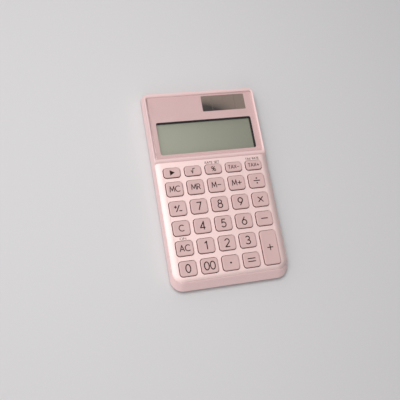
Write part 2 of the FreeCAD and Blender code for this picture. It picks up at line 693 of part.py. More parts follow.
def build_rear_cover():
    """Lower housing: a shallow tray with a locating lip, screw seats, ribs and the cell's ring."""
    body = new_body("rear_cover")
    sections = []
    for number, share in enumerate(COVER_SHARES, 1):
        inset = f"cover_taper * (1 - sqrt(1 - (1 - {share}) ^ 2))"
        section = sketch_on(body, f"cover_section_{number}", f"foot_height + {share} * cover_height")
        rectangle(
            section, f"{inset} - half_width", f"half_width - {inset}", f"{inset} - half_length",
            f"half_length - {inset}", f"body_corner_bottom - {inset} / 2", f"body_corner_top - {inset} / 2")
        sections.append(section)
    loft = body.newObject("PartDesign::AdditiveLoft", "cover_loft")
    loft.Profile = sections[0]
    loft.Sections = sections[1:]
    body.Tip = loft
    inner = (
        "lip_inner - half_width", "half_width - lip_inner",
        "front_lip_inner - half_length", "half_length - lip_inner",
        "2 * cavity_corner - lip_width", "cavity_corner - lip_width",
    )
    outer = (
        "lip_inner - lip_width - half_width", "half_width - lip_inner + lip_width",
        "front_lip_inner - lip_width - half_length", "half_length - lip_inner + lip_width",
        "2 * cavity_corner", "cavity_corner",
    )
    opening(body, "cover_inside", inner[:4], "floor_top", "2 * cover_height", *inner[4:])
    ring_wall(body, "cover_lip", outer, inner, "parting - 0.2", "lip_height + 0.2")
    seats = sketch_on(body, "cover_seats", "foot_height + floor_thickness / 2")
    circles(seats, CASE_SCREW_PLACES, "boss_radius + seat_wall")
    pad(body, seats, "boss_seat - foot_height - floor_thickness / 2")
    boss_room = sketch_on(body, "cover_boss_room", "boss_seat")
    circles(boss_room, CASE_SCREW_PLACES, "boss_radius + boss_gap")
    cut(body, boss_room, "2 * cover_height")
    rib_sides = (
        ("-lcd_rib_offset - lcd_rib_width", "-lcd_rib_offset"),
        ("lcd_rib_offset", "lcd_rib_offset + lcd_rib_width"),
    )
    ribs = sketch_on(body, "cover_lcd_ribs", "foot_height + floor_thickness / 2")
    for left, right in rib_sides:
        rectangle(ribs, left, right, "lcd_front + lcd_edge", "lcd_back - lcd_edge")
    pad(body, ribs, "lcd_bottom - foot_height - floor_thickness / 2")
    posts = sketch_on(body, "cover_posts", "foot_height + floor_thickness / 2")
    circles(posts, POST_PLACES, "post_radius")
    pad(body, posts, "board_bottom - foot_height - floor_thickness / 2")
    ring = sketch_on(body, "cover_cell_ring", "foot_height + floor_thickness / 2")
    circles(ring, [("-cell_offset", "cell_y")], "cell_radius + cell_clearance + ring_wall")
    circles(ring, [("-cell_offset", "cell_y")], "cell_radius + cell_clearance")
    pad(body, ring, "floor_thickness / 2 + ring_height")
    gate = (
        "-cell_offset - cell_diameter", "-cell_offset + cell_diameter",
        "cell_y - contact_width / 2 - cell_clearance", "cell_y + contact_width / 2 + cell_clearance",
    )
    opening(body, "cover_ring_gate", gate, "floor_top", "2 * ring_height")
    heads = sketch_on(body, "cover_head_rooms", "0")
    circles(heads, CASE_SCREW_PLACES, "screw_head_radius + screw_clearance")
    cut(body, heads, "head_seat")
    holes = sketch_on(body, "cover_screw_holes", "0")
    circles(holes, CASE_SCREW_PLACES, "screw_radius + screw_clearance")
    cut(body, holes, "2 * cover_height")
    feet = sketch_on(body, "cover_foot_rooms", "0")
    circles(feet, FOOT_PLACES, "foot_radius")
    cut(body, feet, "foot_height + foot_sink")
    return body


FOOT_PLACES = [
    (f"{side} * (half_width - foot_inset_x)", f"{end} * (half_length - foot_inset_y)")
    for side in (-1, 1)
    for end in (-1, 1)
]


def build_feet():
    """Four round pads, sunk into the rear cover."""
    feet = []
    for number, (across, along) in enumerate(FOOT_PLACES, 1):
        foot = doc.addObject("Part::Cylinder", f"foot_{number}")
        bind(foot, "Radius", "foot_radius")
        bind(foot, "Height", "foot_height + foot_sink")
        bind(foot, "Placement.Base.x", across)
        bind(foot, "Placement.Base.y", along)
        feet.append(foot)
    return group("rubber_feet", feet)


def build_screws(name, places, head_top, seat):
    """Screws of one group, heads down: each grips the boss above its seat."""
    screws = []
    for number, (across, along) in enumerate(places, 1):
        body = new_body(f"{name}_{number}")
        head = sketch_on(body, f"{name}_{number}_head", f"{head_top} - screw_head_height")
        circles(head, [("0", "0")], "screw_head_radius")
        pad(body, head, "screw_head_height")
        shank = sketch_on(body, f"{name}_{number}_shank", head_top)
        circles(shank, [("0", "0")], "screw_radius")
        pad(body, shank, f"{seat} + screw_grip - {head_top}")
        bind(body, "Placement.Base.x", across)
        bind(body, "Placement.Base.y", along)
        screws.append(body)
    return group(name, screws)


def build_key(name, across, along, depth):
    """One key: a hollow cap with a rounded top, two side tabs that hold it in, and a plunger."""
    body = new_body(name)
    cap = sketch_on(body, name + "_cap", "skirt_bottom")
    rectangle(cap, "-key_width / 2", "key_width / 2", f"-{depth} / 2", f"{depth} / 2", "key_corner")
    pad(body, cap, "key_top - skirt_bottom")
    round_off(body, "key_top", "key_edge")
    core = (
        "key_wall - key_width / 2", "key_width / 2 - key_wall",
        f"key_wall - {depth} / 2", f"{depth} / 2 - key_wall",
    )
    opening(body, name + "_core", core, "skirt_bottom", "key_top - key_roof - skirt_bottom")
    tabs = sketch_on(body, name + "_tabs", "skirt_bottom")
    tab_ends = ("-tab_length / 2", "tab_length / 2")
    rectangle(tabs, "-key_width / 2 - tab_reach", "key_wall / 2 - key_width / 2", *tab_ends)
    rectangle(tabs, "key_width / 2 - key_wall / 2", "key_width / 2 + tab_reach", *tab_ends)
    pad(body, tabs, "tab_thickness")
    plunger = sketch_on(body, name + "_plunger", "key_foot")
    rectangle(plunger, *centred("plunger_width / 2"))
    pad(body, plunger, "key_top - key_roof / 2 - key_foot")
    bind(body, "Placement.Base.x", across)
    bind(body, "Placement.Base.y", along)
    return body


def build_keys():
    """All keys in their rows, and the tall one."""
    keys = []
    for number, row in enumerate(ROWS, 1):
        depth = "small_key_depth" if number == 1 else "key_depth"
        for column, name in enumerate(row):
            keys.append(build_key(name, f"{column - 2} * pitch_x", f"row_{number}", depth))
    keys.append(build_key("key_plus", "2 * pitch_x", "tall_y", "tall_depth"))
    return keys


def build_key_mat():
    """Rubber sheet on the board: a hollow dome under each key, holes for the bosses."""
    body = slab("key_mat", BOARD_SIDES, "board_top", "mat_thickness")
    boss_holes = sketch_on(body, "mat_boss_holes", "board_top - 0.1")
    circles(boss_holes, BOSS_PLACES, "boss_radius + boss_gap")
    cut(body, boss_holes, "mat_thickness + 0.2")
    room_height = "mat_thickness + dome_height - dome_roof"
    rows = [("-2 * pitch_x", f"row_{number}", len(row)) for number, row in enumerate(ROWS, 1)]
    for number, (across, along, count) in enumerate(rows + [("2 * pitch_x", "tall_y", 1)], 1):
        dome = sketch_on(body, f"mat_dome_{number}", "mat_top")
        rectangle(dome, *centred("dome_width / 2", across, along))
        dome_pad = pad(body, dome, "dome_height", "dome_slope")
        room = centred("(dome_width / 2 - dome_wall)", across, along)
        dome_cut = opening(body, f"mat_hollow_{number}", room, "board_top", room_height)
        if count > 1:
            repeat_across(body, [dome_pad, dome_cut], dome, count)
    return body


def build_board():
    """Circuit board with clearance holes for its screws, and the parts under it."""
    board = slab("main_board", BOARD_SIDES, "board_bottom", "board_thickness")
    holes = sketch_on(board, "board_holes", "board_bottom - 0.1")
    circles(holes, BOSS_PLACES, "screw_radius + screw_clearance")
    cut(board, holes, "board_thickness + 0.2")
    blob = doc.addObject("Part::Sphere", "chip_blob")
    bind(blob, "Radius", "(blob_radius ^ 2 + blob_height ^ 2) / (2 * blob_height)")
    bind(blob, "Angle1", "asin(1 - 2 * blob_height ^ 2 / (blob_radius ^ 2 + blob_height ^ 2))")
    blob.Angle2 = 90
    blob.Placement.Rotation = Rotation(Vector(1, 0, 0), 180)
    bind(blob, "Placement.Base.x", "pitch_x / 2")
    bind(blob, "Placement.Base.y", "row_3")
    bind(blob, "Placement.Base.z", "board_bottom + (blob_radius ^ 2 - blob_height ^ 2) / (2 * blob_height)")
    chips = []
    for number in range(5):
        chip = doc.addObject("Part::Box", f"chip_{number + 1}")
        bind(chip, "Length", "chip_length")
        bind(chip, "Width", "chip_width")
        bind(chip, "Height", "chip_height")
        bind(chip, "Placement.Base.x", f"{number - 2} * 2 * chip_length - chip_length / 2")
        bind(chip, "Placement.Base.y", "row_5 - chip_width / 2")
        bind(chip, "Placement.Base.z", "board_bottom - chip_height")
        chips.append(chip)
    return [board, blob, group("board_parts", chips)]


def build_display():
    """Window, mask, black frame, the glass stack under it and the solar cell."""
    gap = "window_clearance"
    sides = (
        f"-window_half + {gap}", f"window_half - {gap}", f"window_front + {gap}", f"window_back - {gap}",
    )
    window = slab("display_window", sides, "mask_top", "window_thickness", "window_corner")
    round_off(window, "window_top", "window_bevel", "Chamfer")
    mask = slab("window_mask", sides, "ledge_top", "mask_thickness", "window_corner")
    opening(mask, "mask_view", LCD_VIEW, "ledge_top - 0.1", "mask_thickness + 0.2", "view_corner")
    opening(
        mask, "mask_solar_view", SOLAR_VIEW, "ledge_top - 0.1", "mask_thickness + 0.2", "solar_corner")

    frame_half = "lcd_half + lcd_clearance + frame_wall"
    frame_sides = (f"-({frame_half})", frame_half, "frame_front", "frame_back")
    frame = slab("display_frame", frame_sides, "lcd_bottom", "ledge_bottom - lcd_bottom")
    collar = sketch_on(frame, "frame_collar", "ledge_bottom - 0.1")
    rectangle(collar, *grown(LCD_VIEW, "well_clearance + collar_wall"), "view_corner")
    pad(frame, collar, "ledge_thickness + 0.1")
    well = grown(LCD_VIEW, "well_clearance")
    opening(frame, "frame_upper_well", well, "frame_lip_top", "2 * frame_well", "view_corner")
    port = (
        "lip_reach - view_half", "view_half - lip_reach", "view_front + lip_reach", "view_back - lip_reach",
    )
    opening(frame, "frame_port", port, "lcd_bottom - 0.1", "ledge_top - lcd_bottom")
    pocket = (
        "-lcd_half - lcd_clearance", "lcd_half + lcd_clearance",
        "frame_front - frame_wall", "lcd_back + lcd_clearance",
    )
    opening(frame, "frame_lcd_room", pocket, "lcd_bottom - 0.1", "lcd_top - lcd_bottom + 0.1")

    short = ("-lcd_half", "lcd_half", "lcd_front", "lcd_back")
    long = ("-lcd_half", "lcd_half", "lcd_front - contact_ledge", "lcd_back")
    polariser = slab("lcd_polariser", short, "glass_top", "polariser_thickness")
    front_glass = slab("lcd_front_glass", long, "glass_joint", "glass_thickness")
    rear_glass = slab("lcd_rear_glass", short, "glass_bottom", "glass_thickness")
    reflector = slab("lcd_reflector", short, "lcd_bottom", "reflector_thickness")

    ribbon = new_body("lcd_ribbon")
    strip = sketch_on(ribbon, "ribbon_side", "-ribbon_width / 2", "YZ_Plane")
    upper = ("glass_joint", "glass_joint - ribbon_thickness")
    lower = ("board_bottom", "board_bottom - ribbon_thickness")
    bend_high = "frame_front + lcd_clearance"
    bend_low = "board_back"
    polygon(strip, [
        ("lcd_front - lcd_clearance", upper[0]),
        (bend_high, upper[0]),
        (bend_low, lower[0]),
        ("board_back - ribbon_lap", lower[0]),
        ("board_back - ribbon_lap", lower[1]),
        (bend_low, lower[1]),
        (bend_high, upper[1]),
        ("lcd_front - lcd_clearance", upper[1]),
    ])
    pad(ribbon, strip, "ribbon_width")

    cell_sides = grown(SOLAR_VIEW, "solar_edge")
    solar = slab("solar_cell", cell_sides, "ledge_top - solar_thickness", "solar_thickness")
    return [window, mask, frame, polariser, front_glass, rear_glass, reflector, ribbon, solar]


def build_cell():
    """Button cell in its ring, cap down, with a strip under it and a strip at its side."""
    cell = new_body("button_cell")
    cap = sketch_on(cell, "cell_cap", "cell_base")
    circles(cap, [("0", "0")], "cell_radius - cell_cap_margin")
    pad(cell, cap, "cell_cap_height")
    can = sketch_on(cell, "cell_can", "cell_base + cell_cap_height")
    circles(can, [("0", "0")], "cell_radius")
    pad(cell, can, "cell_height - cell_cap_height")
    round_off(cell, "cell_base + cell_height", "cell_edge")
    bind(cell, "Placement.Base.x", "-cell_offset")
    bind(cell, "Placement.Base.y", "cell_y")

    half = "contact_width / 2"
    strip = ("-cell_offset - cell_radius - contact_foot / 2", "-cell_offset + cell_radius / 2")
    ends = (f"cell_y - {half}", f"cell_y + {half}")
    minus = slab("cell_minus_contact", (*strip, *ends), "floor_top", "contact_thickness")
    side = "-cell_offset + cell_radius"
    foot = (side, f"{side} + contact_foot", *ends)
    plus = slab("cell_plus_contact", foot, "floor_top", "contact_thickness")
    upright = sketch_on(plus, "plus_upright", "floor_top")
    rectangle(upright, side, f"{side} + contact_thickness", *ends)
    pad(plus, upright, "contact_thickness + cell_height")
    return [cell, minus, plus]


def build_lead(name, across, start_y, start_height):
    """A lead under the display: down from its start, along the floor and up to the board."""
    body = new_body(name)
    path = sketch_on(body, name + "_path", across, "YZ_Plane")
    y0, z0, y1 = value(start_y), value(start_height), value("lead_end")
    run, end, bend = value("lead_height"), value("board_bottom"), value("lead_bend")
    path.addGeometry(Part.LineSegment(Vector(y0, z0, 0), Vector(y0, run + bend, 0)))
    corner_arc(path, y0 - bend, run + bend, bend, -1)
    path.addGeometry(Part.LineSegment(Vector(y0 - bend, run, 0), Vector(y1 + bend, run, 0)))
    corner_arc(path, y1 + bend, run + bend, bend, 2)
    path.addGeometry(Part.LineSegment(Vector(y1, run + bend, 0), Vector(y1, end, 0)))
    joints = ((0, 2, 1, 2), (1, 1, 2, 1), (2, 2, 3, 2), (3, 1, 4, 1))
    for joint in joints:
        path.addConstraint(Sketcher.Constraint("Tangent", *joint))
    for line, direction in ((0, "Vertical"), (2, "Horizontal"), (4, "Vertical")):
        path.addConstraint(Sketcher.Constraint(direction, line))
    dimension(path, "Radius", "lead_bend", 1)
    dimension(path, "Radius", "lead_bend", 3)
    dimension(path, "DistanceX", start_y, -1, 1, 0, 1)
    dimension(path, "DistanceY", start_height, -1, 1, 0, 1)
    dimension(path, "DistanceY", "lead_height", -1, 1, 2, 1)
    dimension(path, "DistanceX", "lead_end", -1, 1, 4, 2)
    dimension(path, "DistanceY", "board_bottom", -1, 1, 4, 2)
    profile = sketch_on(body, name + "_profile", start_height)
    circles(profile, [(across, start_y)], "lead_radius")
    pipe = body.newObject("PartDesign::AdditivePipe", name + "_pipe")
    pipe.Profile = profile
    pipe.Spine = path
    body.Tip = pipe
    return body


def build_leads():
    """Two leads from the solar cell and two from the button cell's strips."""
    solar_start = ("(solar_front + solar_back) / 2", "ledge_top - solar_thickness")
    contact_start = ("cell_y - contact_width / 2 - lead_radius", "floor_top + 2 * lead_bend")
    return [
        build_lead("solar_lead_red", "solar_right - lead_spacing", *solar_start),
        build_lead("solar_lead_black", "solar_right - 2 * lead_spacing", *solar_start),
        build_lead("cell_lead_red", "-cell_offset + cell_radius + contact_foot / 2", *contact_start),
        build_lead("cell_lead_black", "-cell_offset - cell_radius - contact_foot / 4", *contact_start),
    ]


pieces = [build_front_case(), build_key_plate(), build_rear_cover(), build_feet()]
pieces += build_keys()
pieces.append(build_key_mat())
pieces += build_board()
pieces += build_display()
pieces += build_cell()
pieces += build_leads()
pieces.append(build_screws("board_screws", BOSS_PLACES, "board_bottom", "board_top"))
pieces.append(build_screws("case_screws", CASE_SCREW_PLACES, "head_seat", "boss_seat"))
doc.recompute()

faults = [obj.Name for obj in doc.Objects if "Invalid" in obj.State or "Error" in obj.State]
if faults:
    raise RuntimeError("these objects did not build: " + ", ".join(faults))
os.makedirs("parts", exist_ok=True)
for piece in pieces:
    if piece.Shape.isNull() or not piece.Shape.isValid():
        raise RuntimeError(f"{piece.Label} has no valid shape")
    piece.Shape.exportStep(f"parts/{piece.Label}.step")
    box = piece.Shape.BoundBox
    print(f"{piece.Label}: solids {len(piece.Shape.Solids)}, volume {piece.Shape.Volume:.2f},"
          f" z {box.ZMin:.2f} to {box.ZMax:.2f}")
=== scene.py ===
"""Looks of a slim desk calculator: housing, pearl key plate, 29 keys with printed signs, display and solar window."""

import json
import math

import bmesh
import bpy
from bpy.props import FloatProperty, FloatVectorProperty, IntProperty, PointerProperty
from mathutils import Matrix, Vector

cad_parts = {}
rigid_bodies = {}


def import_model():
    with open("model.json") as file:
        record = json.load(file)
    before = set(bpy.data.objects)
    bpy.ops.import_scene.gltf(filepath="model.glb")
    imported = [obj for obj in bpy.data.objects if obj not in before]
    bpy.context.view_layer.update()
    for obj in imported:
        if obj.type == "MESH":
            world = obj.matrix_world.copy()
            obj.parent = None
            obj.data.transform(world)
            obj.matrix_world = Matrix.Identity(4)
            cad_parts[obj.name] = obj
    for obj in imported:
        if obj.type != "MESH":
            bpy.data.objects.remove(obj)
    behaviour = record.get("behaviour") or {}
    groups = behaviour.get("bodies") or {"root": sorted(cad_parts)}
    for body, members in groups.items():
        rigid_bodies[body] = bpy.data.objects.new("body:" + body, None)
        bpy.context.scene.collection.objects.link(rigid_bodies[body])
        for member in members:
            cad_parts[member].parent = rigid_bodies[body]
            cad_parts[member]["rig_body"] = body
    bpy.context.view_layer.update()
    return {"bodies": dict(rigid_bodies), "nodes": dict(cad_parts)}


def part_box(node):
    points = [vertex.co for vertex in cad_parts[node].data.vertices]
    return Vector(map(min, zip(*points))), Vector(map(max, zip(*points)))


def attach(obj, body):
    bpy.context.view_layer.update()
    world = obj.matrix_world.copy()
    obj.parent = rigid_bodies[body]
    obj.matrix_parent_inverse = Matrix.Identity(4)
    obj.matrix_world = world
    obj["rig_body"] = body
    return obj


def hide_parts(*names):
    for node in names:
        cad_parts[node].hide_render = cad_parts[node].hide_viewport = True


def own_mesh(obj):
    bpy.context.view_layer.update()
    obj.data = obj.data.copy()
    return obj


bl_info = {
    "name": "Desk Calculator Looks",
    "version": (1, 0, 0),
    "blender": (4, 5, 0),
    "location": "View3D > Sidebar > Calculator",
    "description": "Dresses the solids of a desk calculator with its finishes, signs and studio stage",
    "category": "Object",
}

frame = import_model()

MM = 0.001
HOUSING = "case"
KEYS = sorted(body for body in frame["bodies"] if body != HOUSING)

# Corners of a mesh that lie nearer than this are one.
WELD = 0.000001


def srgb(red, green, blue):
    """A colour given as screen values from 0 to 255, in the linear values that shaders take."""
    linear = []
    for screen in (red, green, blue):
        share = screen / 255
        linear.append(share / 12.92 if share <= 0.04045 else ((share + 0.055) / 1.055) ** 2.4)
    return tuple(linear)


def toned(tint, tone=1):
    """A tint made darker or paler, as a colour socket takes it."""
    return (*(tone * part for part in tint), 1)


def colour(name, description, screen):
    """A colour property of the panel."""
    return FloatVectorProperty(
        name=name, description=description, subtype="COLOR", min=0, max=1, default=srgb(*screen)
    )


def length(name, description, millimetres):
    """A length property of the panel, given in millimetres."""
    return FloatProperty(name=name, description=description, unit="LENGTH", precision=5, default=millimetres * MM)


class CalculatorFinish(bpy.types.PropertyGroup):
    """Colours of the calculator's pieces."""

    case: colour("Case", "Pearl pink of the upper housing", (240, 206, 205))
    cover: colour("Rear cover", "Pink of the lower housing", (203, 170, 169))
    plate: colour("Key plate", "Pale pearl of the panel round the keys", (255, 229, 226))
    keys: colour("Keys", "Satin pink of the key caps", (220, 185, 182))
    mask: colour("Window mask", "Pink layer behind the window", (234, 198, 198))
    signs: colour("Signs", "Dark brown ink of the signs", (58, 34, 32))
    display: colour("Display", "Grey green face of the display", (160, 164, 147))
    solar: colour("Solar cell", "Brown of the solar cell", (114, 101, 92))
    rubber: colour("Rubber", "Grey of the feet", (92, 88, 88))


class CalculatorSizes(bpy.types.PropertyGroup):
    """Sizes of what is finished on top of the solids."""

    dish: length("Key dish", "How far the middle of a key top lies below its rim", 0.13)
    edge: length("Key edge", "Radius of a key's top edge", 0.45)
    ink: length("Ink height", "How far the signs stand off the surface", 0.02)
    digit: length("Digit height", "Height of the digits", 4.6)
    memory: length("Memory sign height", "Height of the memory keys' letters", 3.3)
    clear: length("Clear sign height", "Height of the letters C and AC", 3.5)
    tax: length("Tax sign height", "Height of the letters of the tax keys", 2.1)
    small: length("Small sign height", "Height of the other signs in the top row", 2.8)
    operator: length("Operator width", "Width of the signs for the sums", 4.1)
    label: length("Label height", "Height of the labels printed on the plate", 1.25)
    label_lift: length("Label lift", "How far the middle of a label lies behind its key", 1.45)
    cell_line: length("Cell line", "Width of the lines between the strips of the solar cell", 0.22)
    mat: length("Mat thickness", "Thickness of the rubber sheet between its domes", 0.5)
    cell_strips: IntProperty(name="Cell strips", description="Number of strips in the solar cell", default=4, min=1)


class CalculatorStage(bpy.types.PropertyGroup):
    """Floor, lamps and camera."""

    floor: colour("Floor", "Pale floor", (217, 215, 216))
    key_power: FloatProperty(name="Main lamp", description="Power of the soft lamp", unit="POWER", default=1.7)
    fill_power: FloatProperty(name="Fill lamp", description="Power of the weak lamp", unit="POWER", default=0.5)
    sky: FloatProperty(name="Sky", description="Strength of the light from all round", default=0.85)
    lens: FloatProperty(name="Lens", description="Focal length of the camera", unit="CAMERA", default=58.5)


# Sockets of the Mix node when it mixes colours.
MIX_FACTOR, MIX_FIRST, MIX_SECOND, MIX_RESULT = 0, 6, 7, 2


class Nodes:
    """Adds nodes to a tree and links them; a value may be a socket or a constant."""

    def __init__(self, tree):
        self.tree = tree

    def put(self, socket, given):
        """Links what is given to an input, or sets the input's value."""
        if isinstance(given, bpy.types.NodeSocket):
            self.tree.links.new(given, socket)
        else:
            socket.default_value = given

    def add(self, kind, given=None, **settings):
        """A new node with its settings, then its inputs by name or number."""
        node = self.tree.nodes.new(kind)
        for name, setting in settings.items():
            setattr(node, name, setting)
        for name, what in (given or {}).items():
            self.put(node.inputs[name], what)
        return node

    def math(self, operation, *given):
        """The result of one sum."""
        node = self.add("ShaderNodeMath", operation=operation)
        for socket, what in zip(node.inputs, given):
            self.put(socket, what)
        return node.outputs[0]

    def share(self, numerator, denominator):
        """A quotient held between 0 and 1."""
        node = self.add("ShaderNodeMath", operation="DIVIDE", use_clamp=True)
        self.put(node.inputs[0], numerator)
        self.put(node.inputs[1], denominator)
        return node.outputs[0]

    def mix(self, factor, first, second, blend="MIX"):
        """A colour between two."""
        node = self.add("ShaderNodeMix", data_type="RGBA", blend_type=blend)
        self.put(node.inputs[MIX_FACTOR], factor)
        self.put(node.inputs[MIX_FIRST], first)
        self.put(node.inputs[MIX_SECOND], second)
        return node.outputs[MIX_RESULT]

    def place(self):
        """Where a point of the surface lies, in the object's own coordinates."""
        return self.add("ShaderNodeTexCoord").outputs["Object"]


def new_group(name, kind, inputs, outputs):
    """A node group with named sockets: its node helper, its input node's sockets and its output node."""
    tree = bpy.data.node_groups.new(name, kind)
    for label, socket_type in inputs:
        tree.interface.new_socket(name=label, in_out="INPUT", socket_type=socket_type)
    for label, socket_type in outputs:
        tree.interface.new_socket(name=label, in_out="OUTPUT", socket_type=socket_type)
    nodes = Nodes(tree)
    given = nodes.add("NodeGroupInput").outputs
    result = nodes.add("NodeGroupOutput").inputs
    return nodes, given, result


FLOAT = "NodeSocketFloat"
COLOUR = "NodeSocketColor"
VECTOR = "NodeSocketVector"
GEOMETRY = "NodeSocketGeometry"
MATERIAL = "NodeSocketMaterial"

# The grain's two patterns: how much of the shade each gives, and the slow one's scale beside the fine one's.
FINE_SHARE = 0.45
SLOW_SHARE = 0.55
SLOW_SCALE = 0.012
# Depth of the fine pattern where it stands as relief.
GRAIN_DEPTH = 0.05 * MM
# Cells of the pearl pattern above a tone are flakes: white and tint in one, in cells larger than the grain.
FLAKE_START = 0.72
FLAKE_WHITE = 0.35
FLAKE_TINT = 0.72
FLAKE_SCALE = 0.9


def moulded_grain():
    """Shader group: the fine grain of a moulded or printed surface, with slow drifts of shade."""
    found = bpy.data.node_groups.get("Moulded Grain")
    if found:
        return found
    nodes, given, result = new_group(
        "Moulded Grain",
        "ShaderNodeTree",
        [("Colour", COLOUR), ("Shade", FLOAT), ("Scale", FLOAT), ("Roughness", FLOAT), ("Spread", FLOAT)],
        [("Colour", COLOUR), ("Roughness", FLOAT), ("Height", FLOAT)],
    )
    place = nodes.place()
    fine = nodes.add("ShaderNodeTexNoise", {"Vector": place, "Scale": given["Scale"], "Detail": 3.0}).outputs[0]
    slow_scale = nodes.math("MULTIPLY", given["Scale"], SLOW_SCALE)
    slow = nodes.add("ShaderNodeTexNoise", {"Vector": place, "Scale": slow_scale, "Detail": 2.0}).outputs[0]
    both = nodes.math("ADD", nodes.math("MULTIPLY", fine, FINE_SHARE), nodes.math("MULTIPLY", slow, SLOW_SHARE))
    darker = nodes.math("SUBTRACT", 1.0, nodes.math("MULTIPLY", both, given["Shade"]))
    grey = nodes.add("ShaderNodeCombineColor", {"Red": darker, "Green": darker, "Blue": darker}).outputs[0]
    nodes.put(result["Colour"], nodes.mix(1.0, given["Colour"], grey, "MULTIPLY"))
    swing = nodes.math("MULTIPLY", nodes.math("SUBTRACT", both, 0.5), given["Spread"])
    nodes.put(result["Roughness"], nodes.math("ADD", given["Roughness"], swing))
    nodes.put(result["Height"], fine)
    return nodes.tree


def pearl_flake():
    """Shader group: tiny pale flakes in a pearl finish."""
    found = bpy.data.node_groups.get("Pearl Flake")
    if found:
        return found
    nodes, given, result = new_group(
        "Pearl Flake",
        "ShaderNodeTree",
        [("Colour", COLOUR), ("Flake", COLOUR), ("Scale", FLOAT), ("Amount", FLOAT)],
        [("Colour", COLOUR)],
    )
    cells = nodes.add("ShaderNodeTexVoronoi", {"Vector": nodes.place(), "Scale": given["Scale"]})
    tone = nodes.add("ShaderNodeSeparateColor", {"Color": cells.outputs["Color"]}).outputs["Red"]
    bright = nodes.share(nodes.math("SUBTRACT", tone, FLAKE_START), 1 - FLAKE_START)
    mask = nodes.math("MULTIPLY", bright, given["Amount"])
    nodes.put(result["Colour"], nodes.mix(mask, given["Colour"], given["Flake"]))
    return nodes.tree


def new_material(name):
    """An empty material with its surface shader: the material, its nodes and the shader."""
    material = bpy.data.materials.new(name)
    material.use_nodes = True
    nodes = Nodes(material.node_tree)
    shader = material.node_tree.nodes["Principled BSDF"]
    return material, nodes, shader


def set_plain(shader, values):
    """Sets the values of a surface shader that are the same all over."""
    for label, value in values.items():
        shader.inputs[label].default_value = value


def between(nodes, axis, start, end):
    """How far a point lies from one place to another along an axis, from 0 to 1."""
    along = nodes.add("ShaderNodeSeparateXYZ", {"Vector": nodes.place()}).outputs[axis]
    return nodes.share(nodes.math("SUBTRACT", along, start), end - start)


# Painted shade in the gaps round a pink moulding: what is left of its red, green and blue deep in them.
PAINTED_GAP_SHADE = (0.36, 0.14, 0.135)
COAT_ROUGHNESS = 0.12


def grained(
        name, tint, rough, scale=5200, shade=0.08, spread=0.1, bump=0.06, flake=0, metal=0, coat=0, shine=0.5,
        sunk=None):
    """A moulded, painted or printed finish; flake adds pearl, metal and coat are plain values.

    Sunk is a pair of heights for painted shade: below the first the colour deepens, down to the second.
    """
    material, nodes, shader = new_material(name)
    values = {"Colour": toned(tint), "Shade": shade, "Scale": scale, "Roughness": rough, "Spread": spread}
    grain = nodes.add("ShaderNodeGroup", values, node_tree=moulded_grain())
    shown = grain.outputs["Colour"]
    if flake:
        pale = [min(1, FLAKE_WHITE + FLAKE_TINT * part) for part in tint]
        values = {"Colour": shown, "Flake": toned(pale), "Scale": scale * FLAKE_SCALE, "Amount": flake}
        shown = nodes.add("ShaderNodeGroup", values, node_tree=pearl_flake()).outputs["Colour"]
    # Painted shade: the colour deepens below the first height and is full at the second, where a gap's shade falls.
    if sunk:
        painted_shade_tint = [left * part for left, part in zip(PAINTED_GAP_SHADE, tint)]
        shown = nodes.mix(between(nodes, "Z", *sunk), shown, toned(painted_shade_tint))
    nodes.put(shader.inputs["Base Color"], shown)
    nodes.put(shader.inputs["Roughness"], grain.outputs["Roughness"])
    values = {"Strength": bump, "Distance": GRAIN_DEPTH, "Height": grain.outputs["Height"]}
    nodes.put(shader.inputs["Normal"], nodes.add("ShaderNodeBump", values).outputs["Normal"])
    set_plain(shader, {
        "Metallic": metal, "Specular IOR Level": shine, "Coat Weight": coat, "Coat Roughness": COAT_ROUGHNESS})
    return material


# Clear acrylic: its own colour, what it lets through from the lamps, and how much it bends light.
ACRYLIC = (0.97, 0.955, 0.95, 1)
ACRYLIC_PASS = (0.95, 0.94, 0.935, 1)
ACRYLIC_IOR = 1.49


def clear_plastic(name):
    """Clear window sheet: bends light for what is seen, and lets the lamps through to what lies behind."""
    material, nodes, shader = new_material(name)
    set_plain(shader, {"Base Color": ACRYLIC, "Roughness": 0.03, "IOR": ACRYLIC_IOR, "Transmission Weight": 1})
    path = nodes.add("ShaderNodeLightPath").outputs
    open_way = nodes.math("MAXIMUM", path["Is Shadow Ray"], path["Is Diffuse Ray"])
    through = nodes.add("ShaderNodeBsdfTransparent", {"Color": ACRYLIC_PASS})
    blend = nodes.add("ShaderNodeMixShader", {0: open_way, 1: shader.outputs[0], 2: through.outputs[0]})
    ending = material.node_tree.nodes["Material Output"]
    nodes.put(ending.inputs["Surface"], blend.outputs[0])
    return material


# Painted light on the display's face: its tone on its left, where a painted reflection brightens it, and on its right.
DISPLAY_PAINTED_BRIGHT = 1.22
DISPLAY_PAINTED_DIM = 0.86


def display_finish(name, tint):
    """Grey green polariser with painted light: a painted reflection makes it brighter on its left and dimmer towards
    its right.
    """
    material, nodes, shader = new_material(name)
    low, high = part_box("lcd_polariser")
    toward_right = between(nodes, "X", low.x, high.x)
    # Painted light: the face runs from its brighter tone at the left to its dimmer tone at the right.
    shown = nodes.mix(toward_right, toned(tint, DISPLAY_PAINTED_BRIGHT), toned(tint, DISPLAY_PAINTED_DIM))
    values = {"Colour": shown, "Shade": 0.06, "Scale": 7500.0, "Roughness": 0.3, "Spread": 0.1}
    grain = nodes.add("ShaderNodeGroup", values, node_tree=moulded_grain())
    nodes.put(shader.inputs["Base Color"], grain.outputs["Colour"])
    nodes.put(shader.inputs["Roughness"], grain.outputs["Roughness"])
    set_plain(shader, {"Coat Weight": 0.2})
    return material


